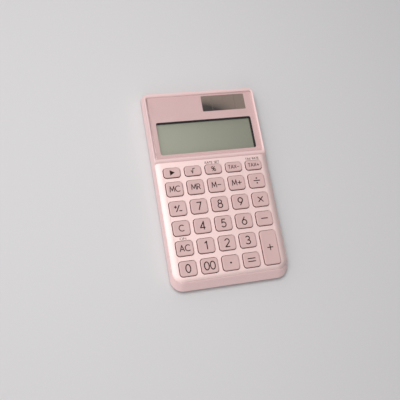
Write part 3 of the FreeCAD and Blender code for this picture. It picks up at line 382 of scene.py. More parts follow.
# Tones of the solar cell's painted reflection, dark in its near left corner and pale elsewhere, how far that painted
# dark corner reaches, and how rough the cell is.
SOLAR_DARK = 0.12
SOLAR_PAINTED_SHEEN = 1.72
SOLAR_PAINTED_DARK_REACH = 0.32
SOLAR_ROUGHNESS = 0.26
# Its streaks: how fine they are along each axis, and what they add to its shade and to its roughness.
STREAK_SCALE = (900, 40, 1)
STREAK_SHADE = 0.1
STREAK_ROUGHNESS = 0.04


def solar_finish(name, tint):
    """Brown strips of a thin film cell: fine streaks along them, and a painted reflection, pale elsewhere and darkest
    at the near left corner.
    """
    material, nodes, shader = new_material(name)
    across = nodes.add("ShaderNodeMapping", {"Vector": nodes.place(), "Scale": STREAK_SCALE}).outputs[0]
    streak = nodes.add("ShaderNodeTexNoise", {"Vector": across, "Scale": 1.0, "Detail": 4.0}).outputs[0]
    low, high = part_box("solar_cell")
    dark = toned(tint, SOLAR_DARK)
    # Painted reflection: pale over the cell, darkening into its near left corner.
    near_left = nodes.math("MULTIPLY", between(nodes, "X", high.x, low.x), between(nodes, "Y", high.y, low.y))
    painted_dark_corner = nodes.share(nodes.math("MULTIPLY", near_left, near_left), SOLAR_PAINTED_DARK_REACH)
    film = nodes.mix(painted_dark_corner, toned(tint, SOLAR_PAINTED_SHEEN), dark)
    nodes.put(shader.inputs["Base Color"], nodes.mix(nodes.math("MULTIPLY", streak, STREAK_SHADE), film, dark))
    rougher = nodes.math("MULTIPLY", streak, STREAK_ROUGHNESS)
    nodes.put(shader.inputs["Roughness"], nodes.math("ADD", SOLAR_ROUGHNESS, rougher))
    set_plain(shader, {"Coat Weight": 0.2, "Coat Roughness": 0.08})
    return material


# Copper tracks of the board: where a wave starts to be a track, how soft its edge is, and its height.
COPPER = srgb(176, 128, 72)
TRACK_START = 0.62
TRACK_EDGE = 0.06
TRACK_HEIGHT = 0.04 * MM
# How rough the laminate is, and how much smoother a track.
BOARD_ROUGHNESS = 0.5
TRACK_SMOOTHER = 0.15


def board_finish(name, tint):
    """Circuit board: laminate with rows of copper tracks under its lacquer."""
    material, nodes, shader = new_material(name)
    waves = {"Vector": nodes.place(), "Scale": 160.0, "Distortion": 9.0, "Detail": 1.0}
    bands = nodes.add("ShaderNodeTexWave", waves).outputs["Fac"]
    track = nodes.share(nodes.math("SUBTRACT", bands, TRACK_START), TRACK_EDGE)
    nodes.put(shader.inputs["Base Color"], nodes.mix(track, toned(tint), toned(COPPER)))
    smoother = nodes.math("MULTIPLY", track, TRACK_SMOOTHER)
    nodes.put(shader.inputs["Roughness"], nodes.math("SUBTRACT", BOARD_ROUGHNESS, smoother))
    relief = nodes.add("ShaderNodeBump", {"Strength": 0.3, "Distance": TRACK_HEIGHT, "Height": track})
    nodes.put(shader.inputs["Normal"], relief.outputs["Normal"])
    return material


# An edge that turns by more than this stays sharp; large faces lead the shading of the edges by this weight.
SMOOTH_TURN = math.radians(28)
FACE_WEIGHT = 80


def new_object(name, data):
    """An object in the scene."""
    made = bpy.data.objects.new(name, data)
    bpy.context.scene.collection.objects.link(made)
    return made


def dress(mesh, material):
    """Gives a mesh one material."""
    mesh.materials.clear()
    mesh.materials.append(material)


def welded(mesh):
    """A mesh opened for editing, with the corners that meet made one."""
    opened = bmesh.new()
    opened.from_mesh(mesh)
    bmesh.ops.remove_doubles(opened, verts=opened.verts, dist=WELD)
    return opened


def close_into(mesh, opened):
    """Writes an edited mesh back and frees it."""
    opened.to_mesh(mesh)
    opened.free()


def clean_copy(node, name, material):
    """A welded copy of a solid with smooth curves and flat flats; it takes the solid's place."""
    solid = frame["nodes"][node]
    piece = new_object(name, solid.data.copy())
    close_into(piece.data, welded(piece.data))
    smooth_curves(piece.data)
    even = piece.modifiers.new("Even normals", "WEIGHTED_NORMAL")
    even.keep_sharp = True
    even.weight = FACE_WEIGHT
    plain_mesh(piece)
    dress(piece.data, material)
    settle(piece, solid["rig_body"], node)


def smooth_curves(mesh):
    """Shades a mesh smooth, apart from its sharp edges."""
    mesh.polygons.foreach_set("use_smooth", [True] * len(mesh.polygons))
    mesh.set_sharp_from_angle(angle=SMOOTH_TURN)


def plain_mesh(piece):
    """Turns what the modifiers make into the piece's own mesh and removes them."""
    bpy.context.view_layer.update()
    graph = bpy.context.evaluated_depsgraph_get()
    shown = piece.evaluated_get(graph)
    made = bpy.data.meshes.new_from_object(shown, preserve_all_data_layers=True, depsgraph=graph)
    made.name = piece.name
    piece.modifiers.clear()
    piece.data = made


def settle(piece, body, node):
    """Fixes a finished piece to its body in the place of a solid, and hides the solid."""
    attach(piece, body)
    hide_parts(node)


def fix_beside(piece, body):
    """Fixes a piece to its body beside a solid that stays."""
    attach(piece, body)


def grown(name, tree, values, mesh=None):
    """A piece made by a geometry tree: the inputs are set by name, and the result is a plain mesh."""
    piece = new_object(name, mesh or bpy.data.meshes.new(name))
    maker = piece.modifiers.new(tree.name, "NODES")
    maker.node_group = tree
    for socket in tree.interface.items_tree:
        if socket.in_out == "INPUT" and socket.name in values:
            maker[socket.identifier] = values[socket.name]
    plain_mesh(piece)
    if not piece.data.polygons:
        raise RuntimeError(f"{name} came out empty")
    return piece


# Faces of a key cap: round each corner, along each side, down its rolled edge and from the edge to the middle.
CORNER_STEPS = 8
SIDE_STEPS = 8
EDGE_STEPS = 6
TOP_RINGS = 9
# Corners of the cap nearer than this are one.
SEAM = 0.002 * MM


def rounded_block():
    """Geometry tree: a block with round corners, a rolled top edge and a dished top."""
    nodes, given, result = new_group(
        "Rounded Block",
        "GeometryNodeTree",
        [
            ("Width", FLOAT),
            ("Depth", FLOAT),
            ("Corner", FLOAT),
            ("Edge", FLOAT),
            ("Dish", FLOAT),
            ("Base", FLOAT),
            ("Top", FLOAT),
            ("Centre", VECTOR),
            ("Material", MATERIAL),
        ],
        [("Geometry", GEOMETRY)],
    )
    calc = nodes.math
    rows = 2 + EDGE_STEPS + TOP_RINGS
    steps = CORNER_STEPS + SIDE_STEPS
    columns = 4 * steps
    sheet = nodes.add(
        "GeometryNodeMeshGrid",
        {"Size X": float(columns), "Size Y": float(rows), "Vertices X": columns + 1, "Vertices Y": rows + 1},
    )
    flat = nodes.add("ShaderNodeSeparateXYZ", {0: nodes.add("GeometryNodeInputPosition").outputs[0]}).outputs
    column = calc("ROUND", calc("ADD", flat["X"], columns / 2))
    row = calc("ROUND", calc("ADD", flat["Y"], rows / 2))

    quarter = calc("FLOOR", calc("DIVIDE", column, float(steps)))
    step = calc("SUBTRACT", column, calc("MULTIPLY", quarter, float(steps)))
    angle = calc("MULTIPLY", calc("ADD", quarter, nodes.share(step, float(CORNER_STEPS))), math.pi / 2)
    onward = nodes.share(calc("SUBTRACT", step, float(CORNER_STEPS)), float(SIDE_STEPS))
    middle = calc("MULTIPLY", calc("ADD", quarter, 0.5), math.pi / 2)
    next_middle = calc("ADD", middle, math.pi / 2)

    rolled = nodes.share(calc("SUBTRACT", row, 2.0), float(EDGE_STEPS))
    roll = calc("MULTIPLY", rolled, math.pi / 2)
    inward = nodes.share(calc("SUBTRACT", row, 2.0 + EDGE_STEPS), float(TOP_RINGS))
    shrink = calc("MULTIPLY", calc("SUBTRACT", 1.0, inward), calc("GREATER_THAN", row, 0.5))
    inset = calc("MULTIPLY", given["Edge"], calc("SUBTRACT", 1.0, calc("COSINE", roll)))
    reach = calc("SUBTRACT", given["Corner"], inset)

    def outline(span, wave):
        """Place of a corner along one axis, and the share of the dish that is left there."""
        half = calc("MULTIPLY", span, 0.5)
        side = calc("SIGN", calc(wave, middle))
        change = calc("SUBTRACT", calc("SIGN", calc(wave, next_middle)), side)
        walk = calc("ADD", side, calc("MULTIPLY", change, onward))
        centre = calc("MULTIPLY", walk, calc("SUBTRACT", half, given["Corner"]))
        place = calc("MULTIPLY", calc("ADD", centre, calc("MULTIPLY", reach, calc(wave, angle))), shrink)
        rim = calc("DIVIDE", place, calc("SUBTRACT", half, given["Edge"]))
        hollow = calc("SUBTRACT", 1.0, calc("MULTIPLY", rim, rim))
        return place, hollow

    across, hollow_across = outline(given["Width"], "COSINE")
    along, hollow_along = outline(given["Depth"], "SINE")
    on_top = calc("GREATER_THAN", row, 1.5 + EDGE_STEPS)
    sunk = calc("MULTIPLY", calc("MULTIPLY", hollow_across, hollow_along), calc("MULTIPLY", given["Dish"], on_top))
    rise = calc("MULTIPLY", given["Edge"], calc("SUBTRACT", calc("SINE", roll), 1.0))
    upper = calc("SUBTRACT", calc("ADD", given["Top"], rise), sunk)
    above = calc("GREATER_THAN", row, 1.5)
    drop = calc("MULTIPLY", calc("SUBTRACT", upper, given["Base"]), above)
    height = calc("ADD", given["Base"], drop)

    place = nodes.add("ShaderNodeCombineXYZ", {"X": across, "Y": along, "Z": height}).outputs[0]
    moved = nodes.add("ShaderNodeVectorMath", {0: place, 1: given["Centre"]}, operation="ADD").outputs[0]
    bent = nodes.add("GeometryNodeSetPosition", {"Geometry": sheet.outputs["Mesh"], "Position": moved})
    closed = nodes.add("GeometryNodeMergeByDistance", {"Geometry": bent.outputs[0], "Distance": SEAM})
    smooth = nodes.add("GeometryNodeSetShadeSmooth", {"Geometry": closed.outputs[0], "Shade Smooth": True})
    end_tree(nodes, smooth.outputs[0], given["Material"], result)
    return nodes.tree


def end_tree(nodes, shape, material, result):
    """Closes a geometry tree: real geometry with its material."""
    real = nodes.add("GeometryNodeRealizeInstances", {"Geometry": shape}).outputs[0]
    dressed = nodes.add("GeometryNodeSetMaterial", {"Geometry": real, "Material": material}).outputs[0]
    nodes.put(result["Geometry"], dressed)


def printed_stroke():
    """Geometry tree: a flat ribbon of ink along the piece's lines."""
    nodes, given, result = new_group(
        "Printed Stroke",
        "GeometryNodeTree",
        [("Geometry", GEOMETRY), ("Width", FLOAT), ("Height", FLOAT), ("Material", MATERIAL)],
        [("Geometry", GEOMETRY)],
    )
    lines = nodes.add("GeometryNodeMeshToCurve", {"Mesh": given["Geometry"]}).outputs[0]
    upright = nodes.add("GeometryNodeSetCurveNormal", {"Curve": lines}, mode="Z_UP").outputs[0]
    section = nodes.add(
        "GeometryNodeCurvePrimitiveQuadrilateral", {"Width": given["Width"], "Height": given["Height"]}
    ).outputs[0]
    ribbon = nodes.add(
        "GeometryNodeCurveToMesh", {"Curve": upright, "Profile Curve": section, "Fill Caps": True}
    ).outputs[0]
    end_tree(nodes, ribbon, given["Material"], result)
    return nodes.tree


# A screw head's sides, and its cross: the length beside the head's radius, and the cutter's depth beside its height.
HEAD_SIDES = 40
CROSS_LENGTH = 1.15
CROSS_DEPTH = 1.1


def cross_screws():
    """Geometry tree: a round screw head with a cross recess at each point, facing down."""
    nodes, given, result = new_group(
        "Cross Screws",
        "GeometryNodeTree",
        [("Geometry", GEOMETRY), ("Radius", FLOAT), ("Height", FLOAT), ("Slot", FLOAT), ("Material", MATERIAL)],
        [("Geometry", GEOMETRY)],
    )
    calc = nodes.math
    head = nodes.add(
        "GeometryNodeMeshCylinder",
        {"Vertices": HEAD_SIDES, "Side Segments": 1, "Radius": given["Radius"], "Depth": given["Height"]},
    ).outputs[0]
    reach = calc("MULTIPLY", given["Radius"], CROSS_LENGTH)
    depth = calc("MULTIPLY", given["Height"], CROSS_DEPTH)
    cut = nodes.add("GeometryNodeMeshBoolean", {"Mesh 1": head}, operation="DIFFERENCE", solver="EXACT")
    for size in ((reach, given["Slot"]), (given["Slot"], reach)):
        span = nodes.add("ShaderNodeCombineXYZ", {"X": size[0], "Y": size[1], "Z": depth}).outputs[0]
        bar = nodes.add("GeometryNodeMeshCube", {"Size": span}).outputs[0]
        low = nodes.add("ShaderNodeCombineXYZ", {"Z": calc("MULTIPLY", given["Height"], -0.5)}).outputs[0]
        moved = nodes.add("GeometryNodeTransform", {"Geometry": bar, "Translation": low}).outputs[0]
        nodes.put(cut.inputs["Mesh 2"], moved)
    placed = nodes.add("GeometryNodeInstanceOnPoints", {"Points": given["Geometry"], "Instance": cut.outputs[0]})
    end_tree(nodes, placed.outputs[0], given["Material"], result)
    return nodes.tree


def cell_lines():
    """Geometry tree: thin lines that part the strips of the solar cell."""
    nodes, given, result = new_group(
        "Cell Lines",
        "GeometryNodeTree",
        [
            ("Count", "NodeSocketInt"),
            ("First", VECTOR),
            ("Step", VECTOR),
            ("Line", VECTOR),
            ("Material", MATERIAL),
        ],
        [("Geometry", GEOMETRY)],
    )
    row = nodes.add(
        "GeometryNodeMeshLine",
        {"Count": given["Count"], "Start Location": given["First"], "Offset": given["Step"]},
        mode="OFFSET",
    ).outputs[0]
    bar = nodes.add("GeometryNodeMeshCube", {"Size": given["Line"]}).outputs[0]
    placed = nodes.add("GeometryNodeInstanceOnPoints", {"Points": row, "Instance": bar}).outputs[0]
    end_tree(nodes, placed, given["Material"], result)
    return nodes.tree


def arc(centre_x, centre_y, radius_x, radius_y, start, end, steps=18):
    """Points along part of an ellipse, angles in degrees."""
    points = []
    for step in range(steps + 1):
        angle = math.radians(start + (end - start) * step / steps)
        points.append((centre_x + radius_x * math.cos(angle), centre_y + radius_y * math.sin(angle)))
    return points


def sign_strokes():
    """Plain signs as pen strokes, each one unit tall, with the width that each takes."""
    bowl = arc(0.3, 0.31, 0.3, 0.31, 0, 360, 28)
    nine = [(0.6 - x, 1 - y) for x, y in bowl]
    return {
        "0": (0.6, [arc(0.3, 0.5, 0.3, 0.5, 0, 360, 32)]),
        "1": (0.34, [[(0.0, 0.8), (0.27, 1.0), (0.27, 0.0)]]),
        "2": (0.58, [arc(0.29, 0.71, 0.28, 0.29, 165, -38) + [(0.02, 0.0), (0.58, 0.0)]]),
        "3": (0.56, [arc(0.26, 0.75, 0.25, 0.25, 155, -90) + arc(0.26, 0.26, 0.3, 0.26, 75, -158)]),
        "4": (0.64, [[(0.46, 0.0), (0.46, 1.0), (0.0, 0.26), (0.64, 0.26)]]),
        "5": (0.56, [[(0.52, 1.0), (0.12, 1.0), (0.05, 0.55)] + arc(0.25, 0.32, 0.31, 0.32, 118, -150)]),
        "6": (0.6, [bowl, [(0.05, 0.46), (0.4, 1.0)]]),
        "7": (0.56, [[(0.0, 1.0), (0.56, 1.0), (0.18, 0.0)]]),
        "8": (0.6, [arc(0.3, 0.77, 0.23, 0.23, 0, 360, 26), arc(0.3, 0.27, 0.3, 0.27, 0, 360, 30)]),
        "9": (0.6, [nine, [(0.55, 0.54), (0.2, 0.0)]]),
        "A": (0.76, [[(0.0, 0.0), (0.38, 1.0), (0.76, 0.0)], [(0.13, 0.33), (0.63, 0.33)]]),
        "C": (0.78, [arc(0.48, 0.5, 0.48, 0.5, 48, 312, 30)]),
        "E": (0.5, [[(0.5, 1.0), (0.0, 1.0), (0.0, 0.0), (0.5, 0.0)], [(0.0, 0.52), (0.45, 0.52)]]),
        "M": (0.86, [[(0.0, 0.0), (0.1, 1.0), (0.43, 0.22), (0.76, 1.0), (0.86, 0.0)]]),
        "N": (0.66, [[(0.0, 0.0), (0.0, 1.0), (0.66, 0.0), (0.66, 1.0)]]),
        "O": (0.88, [arc(0.44, 0.5, 0.44, 0.5, 0, 360, 32)]),
        "R": (
            0.56,
            [
                [(0.0, 0.0), (0.0, 1.0), (0.26, 1.0)] + arc(0.26, 0.74, 0.26, 0.26, 90, -90) + [(0.0, 0.48)],
                [(0.24, 0.48), (0.56, 0.0)],
            ],
        ),
        "S": (0.52, [arc(0.26, 0.74, 0.24, 0.26, 40, 265) + arc(0.26, 0.25, 0.26, 0.25, 85, -145)]),
        "T": (0.6, [[(0.0, 1.0), (0.6, 1.0)], [(0.3, 1.0), (0.3, 0.0)]]),
        "X": (0.66, [[(0.0, 0.0), (0.66, 1.0)], [(0.0, 1.0), (0.66, 0.0)]]),
        "%": (
            0.86,
            [
                arc(0.18, 0.76, 0.18, 0.23, 0, 360, 20),
                arc(0.68, 0.24, 0.18, 0.23, 0, 360, 20),
                [(0.16, 0.0), (0.7, 1.0)],
            ],
        ),
        "+": (0.74, [[(0.0, 0.46), (0.74, 0.46)], [(0.37, 0.09), (0.37, 0.83)]]),
        "-": (0.7, [[(0.0, 0.46), (0.7, 0.46)]]),
        "add": (0.9, [[(0.0, 0.5), (0.9, 0.5)], [(0.45, 0.05), (0.45, 0.95)]]),
        "take": (1.0, [[(0.0, 0.5), (1.0, 0.5)]]),
        "times": (0.78, [[(0.0, 0.11), (0.78, 0.89)], [(0.0, 0.89), (0.78, 0.11)]]),
        "divide": (1.0, [[(0.0, 0.5), (1.0, 0.5)], dot(0.5, 0.87), dot(0.5, 0.13)]),
        "equals": (1.15, [[(0.0, 0.71), (1.15, 0.71)], [(0.0, 0.29), (1.15, 0.29)]]),
        "point": (0.26, [dot(0.13, 0.5, 0.07)]),
        "root": (0.95, [[(0.0, 0.42), (0.14, 0.5), (0.34, 0.0), (0.52, 1.0), (0.95, 1.0)]]),
        "sign": (
            1.1,
            [
                [(0.24, 0.0), (0.8, 1.0)],
                [(0.0, 0.72), (0.42, 0.72)],
                [(0.21, 0.51), (0.21, 0.93)],
                [(0.68, 0.14), (1.1, 0.14)],
            ],
        ),
        "back": (0.9, [wedge(share) for share in (1.0, 0.7, 0.4, 0.12)]),
        " ": (0.3, []),
    }


# The triangle that points right: its left side, tip and middle, half its height, and where it shrinks to.
WEDGE_LEFT = 0.06
WEDGE_TIP = 0.9
WEDGE_MIDDLE = 0.5
WEDGE_HALF = 0.46
WEDGE_CENTRE = 0.36


def wedge(share):
    """One of the nested triangles that fill a triangle pointing right."""
    centre = WEDGE_LEFT + WEDGE_CENTRE * (WEDGE_TIP - WEDGE_LEFT)
    upper = (WEDGE_LEFT, WEDGE_MIDDLE + WEDGE_HALF)
    lower = (WEDGE_LEFT, WEDGE_MIDDLE - WEDGE_HALF)
    corners = [upper, (WEDGE_TIP, WEDGE_MIDDLE), lower, upper]
    return [(centre + share * (x - centre), WEDGE_MIDDLE + share * (y - WEDGE_MIDDLE)) for x, y in corners]


def dot(centre_x, centre_y, radius=0.05):
    """A small ring that the pen's width fills."""
    return arc(centre_x, centre_y, radius, radius, 0, 360, 16)


STROKES = sign_strokes()
LETTER_GAP = 0.17
# A path that turns by more than this is cut there.
SHARP = math.radians(35)
# How far a cut stroke runs past its corner, in pen widths: just short of the side of the stroke that it meets.
CORNER_REACH = 0.49
# Width of the pen: a share of a sign's height and a part that is the same for all.
PEN_SHARE = 0.11
PEN_LEAST = 0.09 * MM


def is_ring(path, weight):
    """True for a path whose ends meet, next to the width of its pen."""
    return math.dist(path[0], path[-1]) < weight / 10


def pen_strokes(path, weight):
    """A path cut at its sharp corners, each cut end carried on to fill the corner."""
    ring = is_ring(path, weight)
    path = path[:1] + [after for before, after in zip(path, path[1:]) if math.dist(before, after) > weight / 100]
    legs = [Vector(after) - Vector(before) for before, after in zip(path, path[1:])]
    sharp = [place for place in range(1, len(legs)) if legs[place - 1].angle(legs[place]) > SHARP]
    if ring and not sharp:
        return [path]
    strokes = []
    marks = [0, *sharp, len(legs)]
    for start, end in zip(marks, marks[1:]):
        stroke = [Vector(point) for point in path[start : end + 1]]
        if ring or start:
            stroke[0] = stroke[0] - legs[start].normalized() * weight * CORNER_REACH
        if ring or end < len(legs):
            stroke[-1] = stroke[-1] + legs[end - 1].normalized() * weight * CORNER_REACH
        strokes.append(stroke)
    return strokes


def sign_lines(letters, tall, stretch, weight):
    """Line mesh of a row of letters for a pen of one width, centred on the origin; stretch widens it."""
    lines = bmesh.new()
    left = 0
    for letter in letters:
        wide, paths = STROKES[letter]
        for path in paths:
            drawn = [((left + x) * tall * stretch, y * tall) for x, y in path]
            for stroke in pen_strokes(drawn, weight):
                ring = is_ring(stroke, weight)
                verts = [lines.verts.new((x, y, 0)) for x, y in (stroke[:-1] if ring else stroke)]
                for first, second in zip(verts, verts[1:]):
                    lines.edges.new((first, second))
                if ring:
                    lines.edges.new((verts[-1], verts[0]))
        left += wide + LETTER_GAP
    shift = Vector(((left - LETTER_GAP) * tall * stretch / 2, tall / 2, 0))
    for vert in lines.verts:
        vert.co -= shift
    mesh = bpy.data.meshes.new("sign_lines")
    close_into(mesh, lines)
    return mesh


# Sign of each key and the size that it takes; the other keys carry the digit that ends their name.
SIGNS = {
    "key_backspace": (["back"], "small"),
    "key_root": (["root"], "small"),
    "key_percent": ("%", "small"),
    "key_tax_minus": ("TAX-", "tax"),
    "key_tax_plus": ("TAX+", "tax"),
    "key_memory_clear": ("MC", "memory"),
    "key_memory_recall": ("MR", "memory"),
    "key_memory_minus": ("M-", "memory"),
    "key_memory_plus": ("M+", "memory"),
    "key_divide": (["divide"], "operator"),
    "key_sign": (["sign"], "operator"),
    "key_multiply": (["times"], "operator"),
    "key_minus": (["take"], "operator"),
    "key_plus": (["add"], "operator"),
    "key_equals": (["equals"], "operator"),
    "key_point": (["point"], "operator"),
    "key_double_zero": ("00", "digit"),
    "key_clear": ("C", "clear"),
    "key_all_clear": ("AC", "clear"),
}

# Labels on the plate: the letters, the key that each stands over and how much wider than plain it is set.
PLATE_LABELS = (("RATE SET", "key_percent", 1.28), ("TAX RATE", "key_tax_plus", 1.15), ("ON", "key_all_clear", 1.7))


# Radius of a key cap's corners, seen from above.
KEY_CORNER = 1.7 * MM
# The painted shade of the gap round a key starts this far above its rim and ends this far above the plate.
PAINTED_SHADE_LIFT = 0.1 * MM
# Share of a key's height, from its top, that is clear of its tabs.
TAB_FREE = 0.5
# A key's cap reaches this far down; the core under it is drawn in by a share and has its top lowered.
CAP_DEPTH = 2.2 * MM
CORE_DRAW = 0.008
CORE_TOP = 0.5 * MM


def cap_box(key):
    """Lowest and highest corner of the part of a key that stands in its opening, tabs left out."""
    low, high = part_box(key)
    tabs = high.z - TAB_FREE * (high.z - low.z)
    corners = [vert.co for vert in frame["nodes"][key].data.vertices if vert.co.z > tabs]
    low = Vector((min(c.x for c in corners), min(c.y for c in corners), low.z))
    high = Vector((max(c.x for c in corners), max(c.y for c in corners), high.z))
    return low, high


class CalculatorOperator(bpy.types.Operator):
    """Base of the calculator's operators."""

    bl_options = {"REGISTER", "UNDO"}


class CALCULATOR_OT_housing(CalculatorOperator):
    """Finish the upper housing, the key plate and the rear cover"""

    bl_idname = "calculator.housing"
    bl_label = "Housing"

    def execute(self, context):
        finish = context.scene.calculator_finish
        pearl = grained("Pearl pink case", finish.case, 0.36, shade=0.05, flake=0.35, coat=0.25)
        plate = grained(
            "Pale pearl plate", finish.plate, 0.66, scale=6800, shade=0.05, flake=0.5, metal=0.82, shine=0.12)
        cover = grained("Moulded pink cover", finish.cover, 0.52, scale=3600, shade=0.07, bump=0.25)
        clean_copy("front_case", "housing_front", pearl)
        clean_copy("key_plate", "pearl_plate", plate)
        clean_copy("rear_cover", "housing_rear", cover)
        return {"FINISHED"}


class CALCULATOR_OT_keys(CalculatorOperator):
    """Make the key caps, with rolled edges and dished tops, one for each key body"""

    bl_idname = "calculator.keys"
    bl_label = "Keys"

    def execute(self, context):
        sizes = context.scene.calculator_sizes
        plate_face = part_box("key_plate")[1].z
        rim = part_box("key_5")[1].z - sizes.edge
        # The keys' sides carry painted shade, darkening from just above the rim to just above the plate, where the
        # gaps shade them.
        satin = grained(
            "Satin pink keys", context.scene.calculator_finish.keys, 0.42, scale=4200, shade=0.06, bump=0.1,
            sunk=(rim + PAINTED_SHADE_LIFT, plate_face + PAINTED_SHADE_LIFT))
        block = rounded_block()
        for key in KEYS:
            low, high = cap_box(key)
            span = high - low
            values = {
                "Width": span.x,
                "Depth": span.y,
                "Corner": KEY_CORNER,
                "Edge": sizes.edge,
                "Dish": sizes.dish,
                "Base": high.z - CAP_DEPTH,
                "Top": high.z,
                "Centre": ((low.x + high.x) / 2, (low.y + high.y) / 2, 0),
                "Material": satin,
            }
            cap = grown("cap_" + key, block, values)
            self.add_core(cap, key, (low + high) / 2, high.z, satin)
            settle(cap, key, key)
        return {"FINISHED"}

    def add_core(self, cap, key, middle, top, finish):
        """Joins the solid's skirt, plunger and tabs to the cap, drawn in a little so that they stay under it."""
        core = welded(frame["nodes"][key].data)
        for vert in core.verts:
            vert.co.x -= (vert.co.x - middle.x) * CORE_DRAW
            vert.co.y -= (vert.co.y - middle.y) * CORE_DRAW
            if vert.co.z > top - CORE_TOP:
                vert.co.z -= CORE_TOP
        core.from_mesh(cap.data)
        for face in core.faces:
            face.material_index = 0
        close_into(cap.data, core)
        dress(cap.data, finish)


class CALCULATOR_OT_signs(CalculatorOperator):
    """Print the plain signs on the keys and the small labels on the plate"""

    bl_idname = "calculator.signs"
    bl_label = "Signs"

    def execute(self, context):
        sizes = context.scene.calculator_sizes
        ink = grained(
            "Brown ink", context.scene.calculator_finish.signs, 0.6, scale=9000, shade=0.3, bump=0.02, shine=0.15)
        stroke = printed_stroke()
        for key in KEYS:
            text, kind = SIGNS.get(key, (key[-1], "digit"))
            tall = getattr(sizes, kind)
            low, high = cap_box(key)
            piece = self.print_sign("sign_" + key, text, tall, 1, stroke, ink)
            self.lay_on_key(piece, low, high, sizes)
            fix_beside(piece, key)
        plate_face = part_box("key_plate")[1].z
        for number, (text, key, stretch) in enumerate(PLATE_LABELS, 1):
            low, high = cap_box(key)
            piece = self.print_sign(f"plate_label_{number}", text, sizes.label, stretch, stroke, ink)
            place = Vector(((low.x + high.x) / 2, high.y + sizes.label_lift, plate_face + sizes.ink / 2))
            for vert in piece.data.vertices:
                vert.co += place
            fix_beside(piece, HOUSING)
        return {"FINISHED"}

    def print_sign(self, name, text, tall, stretch, stroke, ink):
        """A sign made flat round the origin."""
        weight = PEN_SHARE * tall + PEN_LEAST
        lines = sign_lines(text, tall, stretch, weight)
        values = {"Width": weight, "Height": bpy.context.scene.calculator_sizes.ink, "Material": ink}
        piece = grown(name, stroke, values, lines)
        solid = welded(piece.data)
        bmesh.ops.recalc_face_normals(solid, faces=solid.faces)
        close_into(piece.data, solid)
        return piece

    def lay_on_key(self, piece, low, high, sizes):
        """Lets the ink follow the dish of the key top."""
        middle = (low + high) / 2
        half = (high - low) / 2
        for vert in piece.data.vertices:
            across = vert.co.x / (half.x - sizes.edge)
            along = vert.co.y / (half.y - sizes.edge)
            sunk = sizes.dish * (1 - across * across) * (1 - along * along)
            vert.co += Vector((middle.x, middle.y, high.z - sunk + sizes.ink / 2))


# Lines of the solar cell: how much shorter than the cell, how thick, and how far their middle lies over it.
LINE_INSET = 0.4 * MM
LINE_HEIGHT = 0.02 * MM
LINE_LIFT = 0.005 * MM


class CALCULATOR_OT_display(CalculatorOperator):
    """Finish the window, the layer behind it, the display and the solar cell"""

    bl_idname = "calculator.display"
    bl_label = "Display"

    def execute(self, context):
        finish = context.scene.calculator_finish
        sizes = context.scene.calculator_sizes
        clean_copy("display_window", "window_sheet", clear_plastic("Clear window"))
        clean_copy("window_mask", "window_print", grained("Pink window print", finish.mask, 0.4, flake=0.25))
        black = grained("Black frame", srgb(20, 12, 9), 0.65, scale=3800, shade=0.2, shine=0.2)
        clean_copy("display_frame", "display_surround", black)
        clean_copy("lcd_polariser", "display_face", display_finish("Display face", finish.display))
        clean_copy("solar_cell", "solar_plate", solar_finish("Solar film", finish.solar))
        low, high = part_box("solar_cell")
        step = (high.x - low.x) / sizes.cell_strips
        values = {
            "Count": sizes.cell_strips - 1,
            "First": (low.x + step, (low.y + high.y) / 2, high.z + LINE_LIFT),
            "Step": (step, 0, 0),
            "Line": (sizes.cell_line, high.y - low.y - LINE_INSET, LINE_HEIGHT),
            "Material": grained("Cell line metal", srgb(128, 114, 106), 0.4, metal=0.5),
        }
        lines = grown("solar_lines", cell_lines(), values)
        fix_beside(lines, HOUSING)
        return {"FINISHED"}


# Case screws: height of a head, width of its cross, and how far up its lower rim is looked for.
SCREW_HEAD = 0.6 * MM
SCREW_SLOT = 0.42 * MM
SCREW_RIM = 0.1 * MM


class CALCULATOR_OT_underside(CalculatorOperator):
    """Make the screw heads with their cross recesses and finish the rubber feet"""

    bl_idname = "calculator.underside"
    bl_label = "Underside"

    def execute(self, context):
        steel = grained("Screw steel", srgb(176, 174, 172), 0.34, scale=2600, shade=0.25, metal=1)
        rubber = grained("Foot rubber", context.scene.calculator_finish.rubber, 0.8, scale=2400, shade=0.2, bump=0.4)
        clean_copy("rubber_feet", "feet", rubber)
        places = bpy.data.meshes.new("screw_places")
        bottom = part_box("case_screws")[0].z
        screws = self.islands("case_screws")
        middles = []
        for corners in screws:
            rim = [co for co in corners if co.z < bottom + SCREW_RIM]
            x, y = (sum(co[axis] for co in rim) / len(rim) for axis in (0, 1))
            middles.append((x, y, bottom + SCREW_HEAD / 2))
        radius = max(co.x - middles[0][0] for co in screws[0])
        places.from_pydata(middles, [], [])
        values = {"Radius": radius, "Height": SCREW_HEAD, "Slot": SCREW_SLOT, "Material": steel}
        heads = grown("screw_heads", cross_screws(), values, places)
        settle(heads, HOUSING, "case_screws")
        return {"FINISHED"}

    def islands(self, node):
        """Corners of each separate solid of a node."""
        mesh = welded(frame["nodes"][node].data)
        reached = set()
        found = []
        for start in mesh.verts:
            if start in reached:
                continue
            reached.add(start)
            queue = [start]
            corners = []
            while queue:
                vert = queue.pop()
                corners.append(vert.co.copy())
                near = [edge.other_vert(vert) for edge in vert.link_edges]
                fresh = [other for other in near if other not in reached]
                reached.update(fresh)
                queue.extend(fresh)
            found.append(corners)
        mesh.free()
        return found


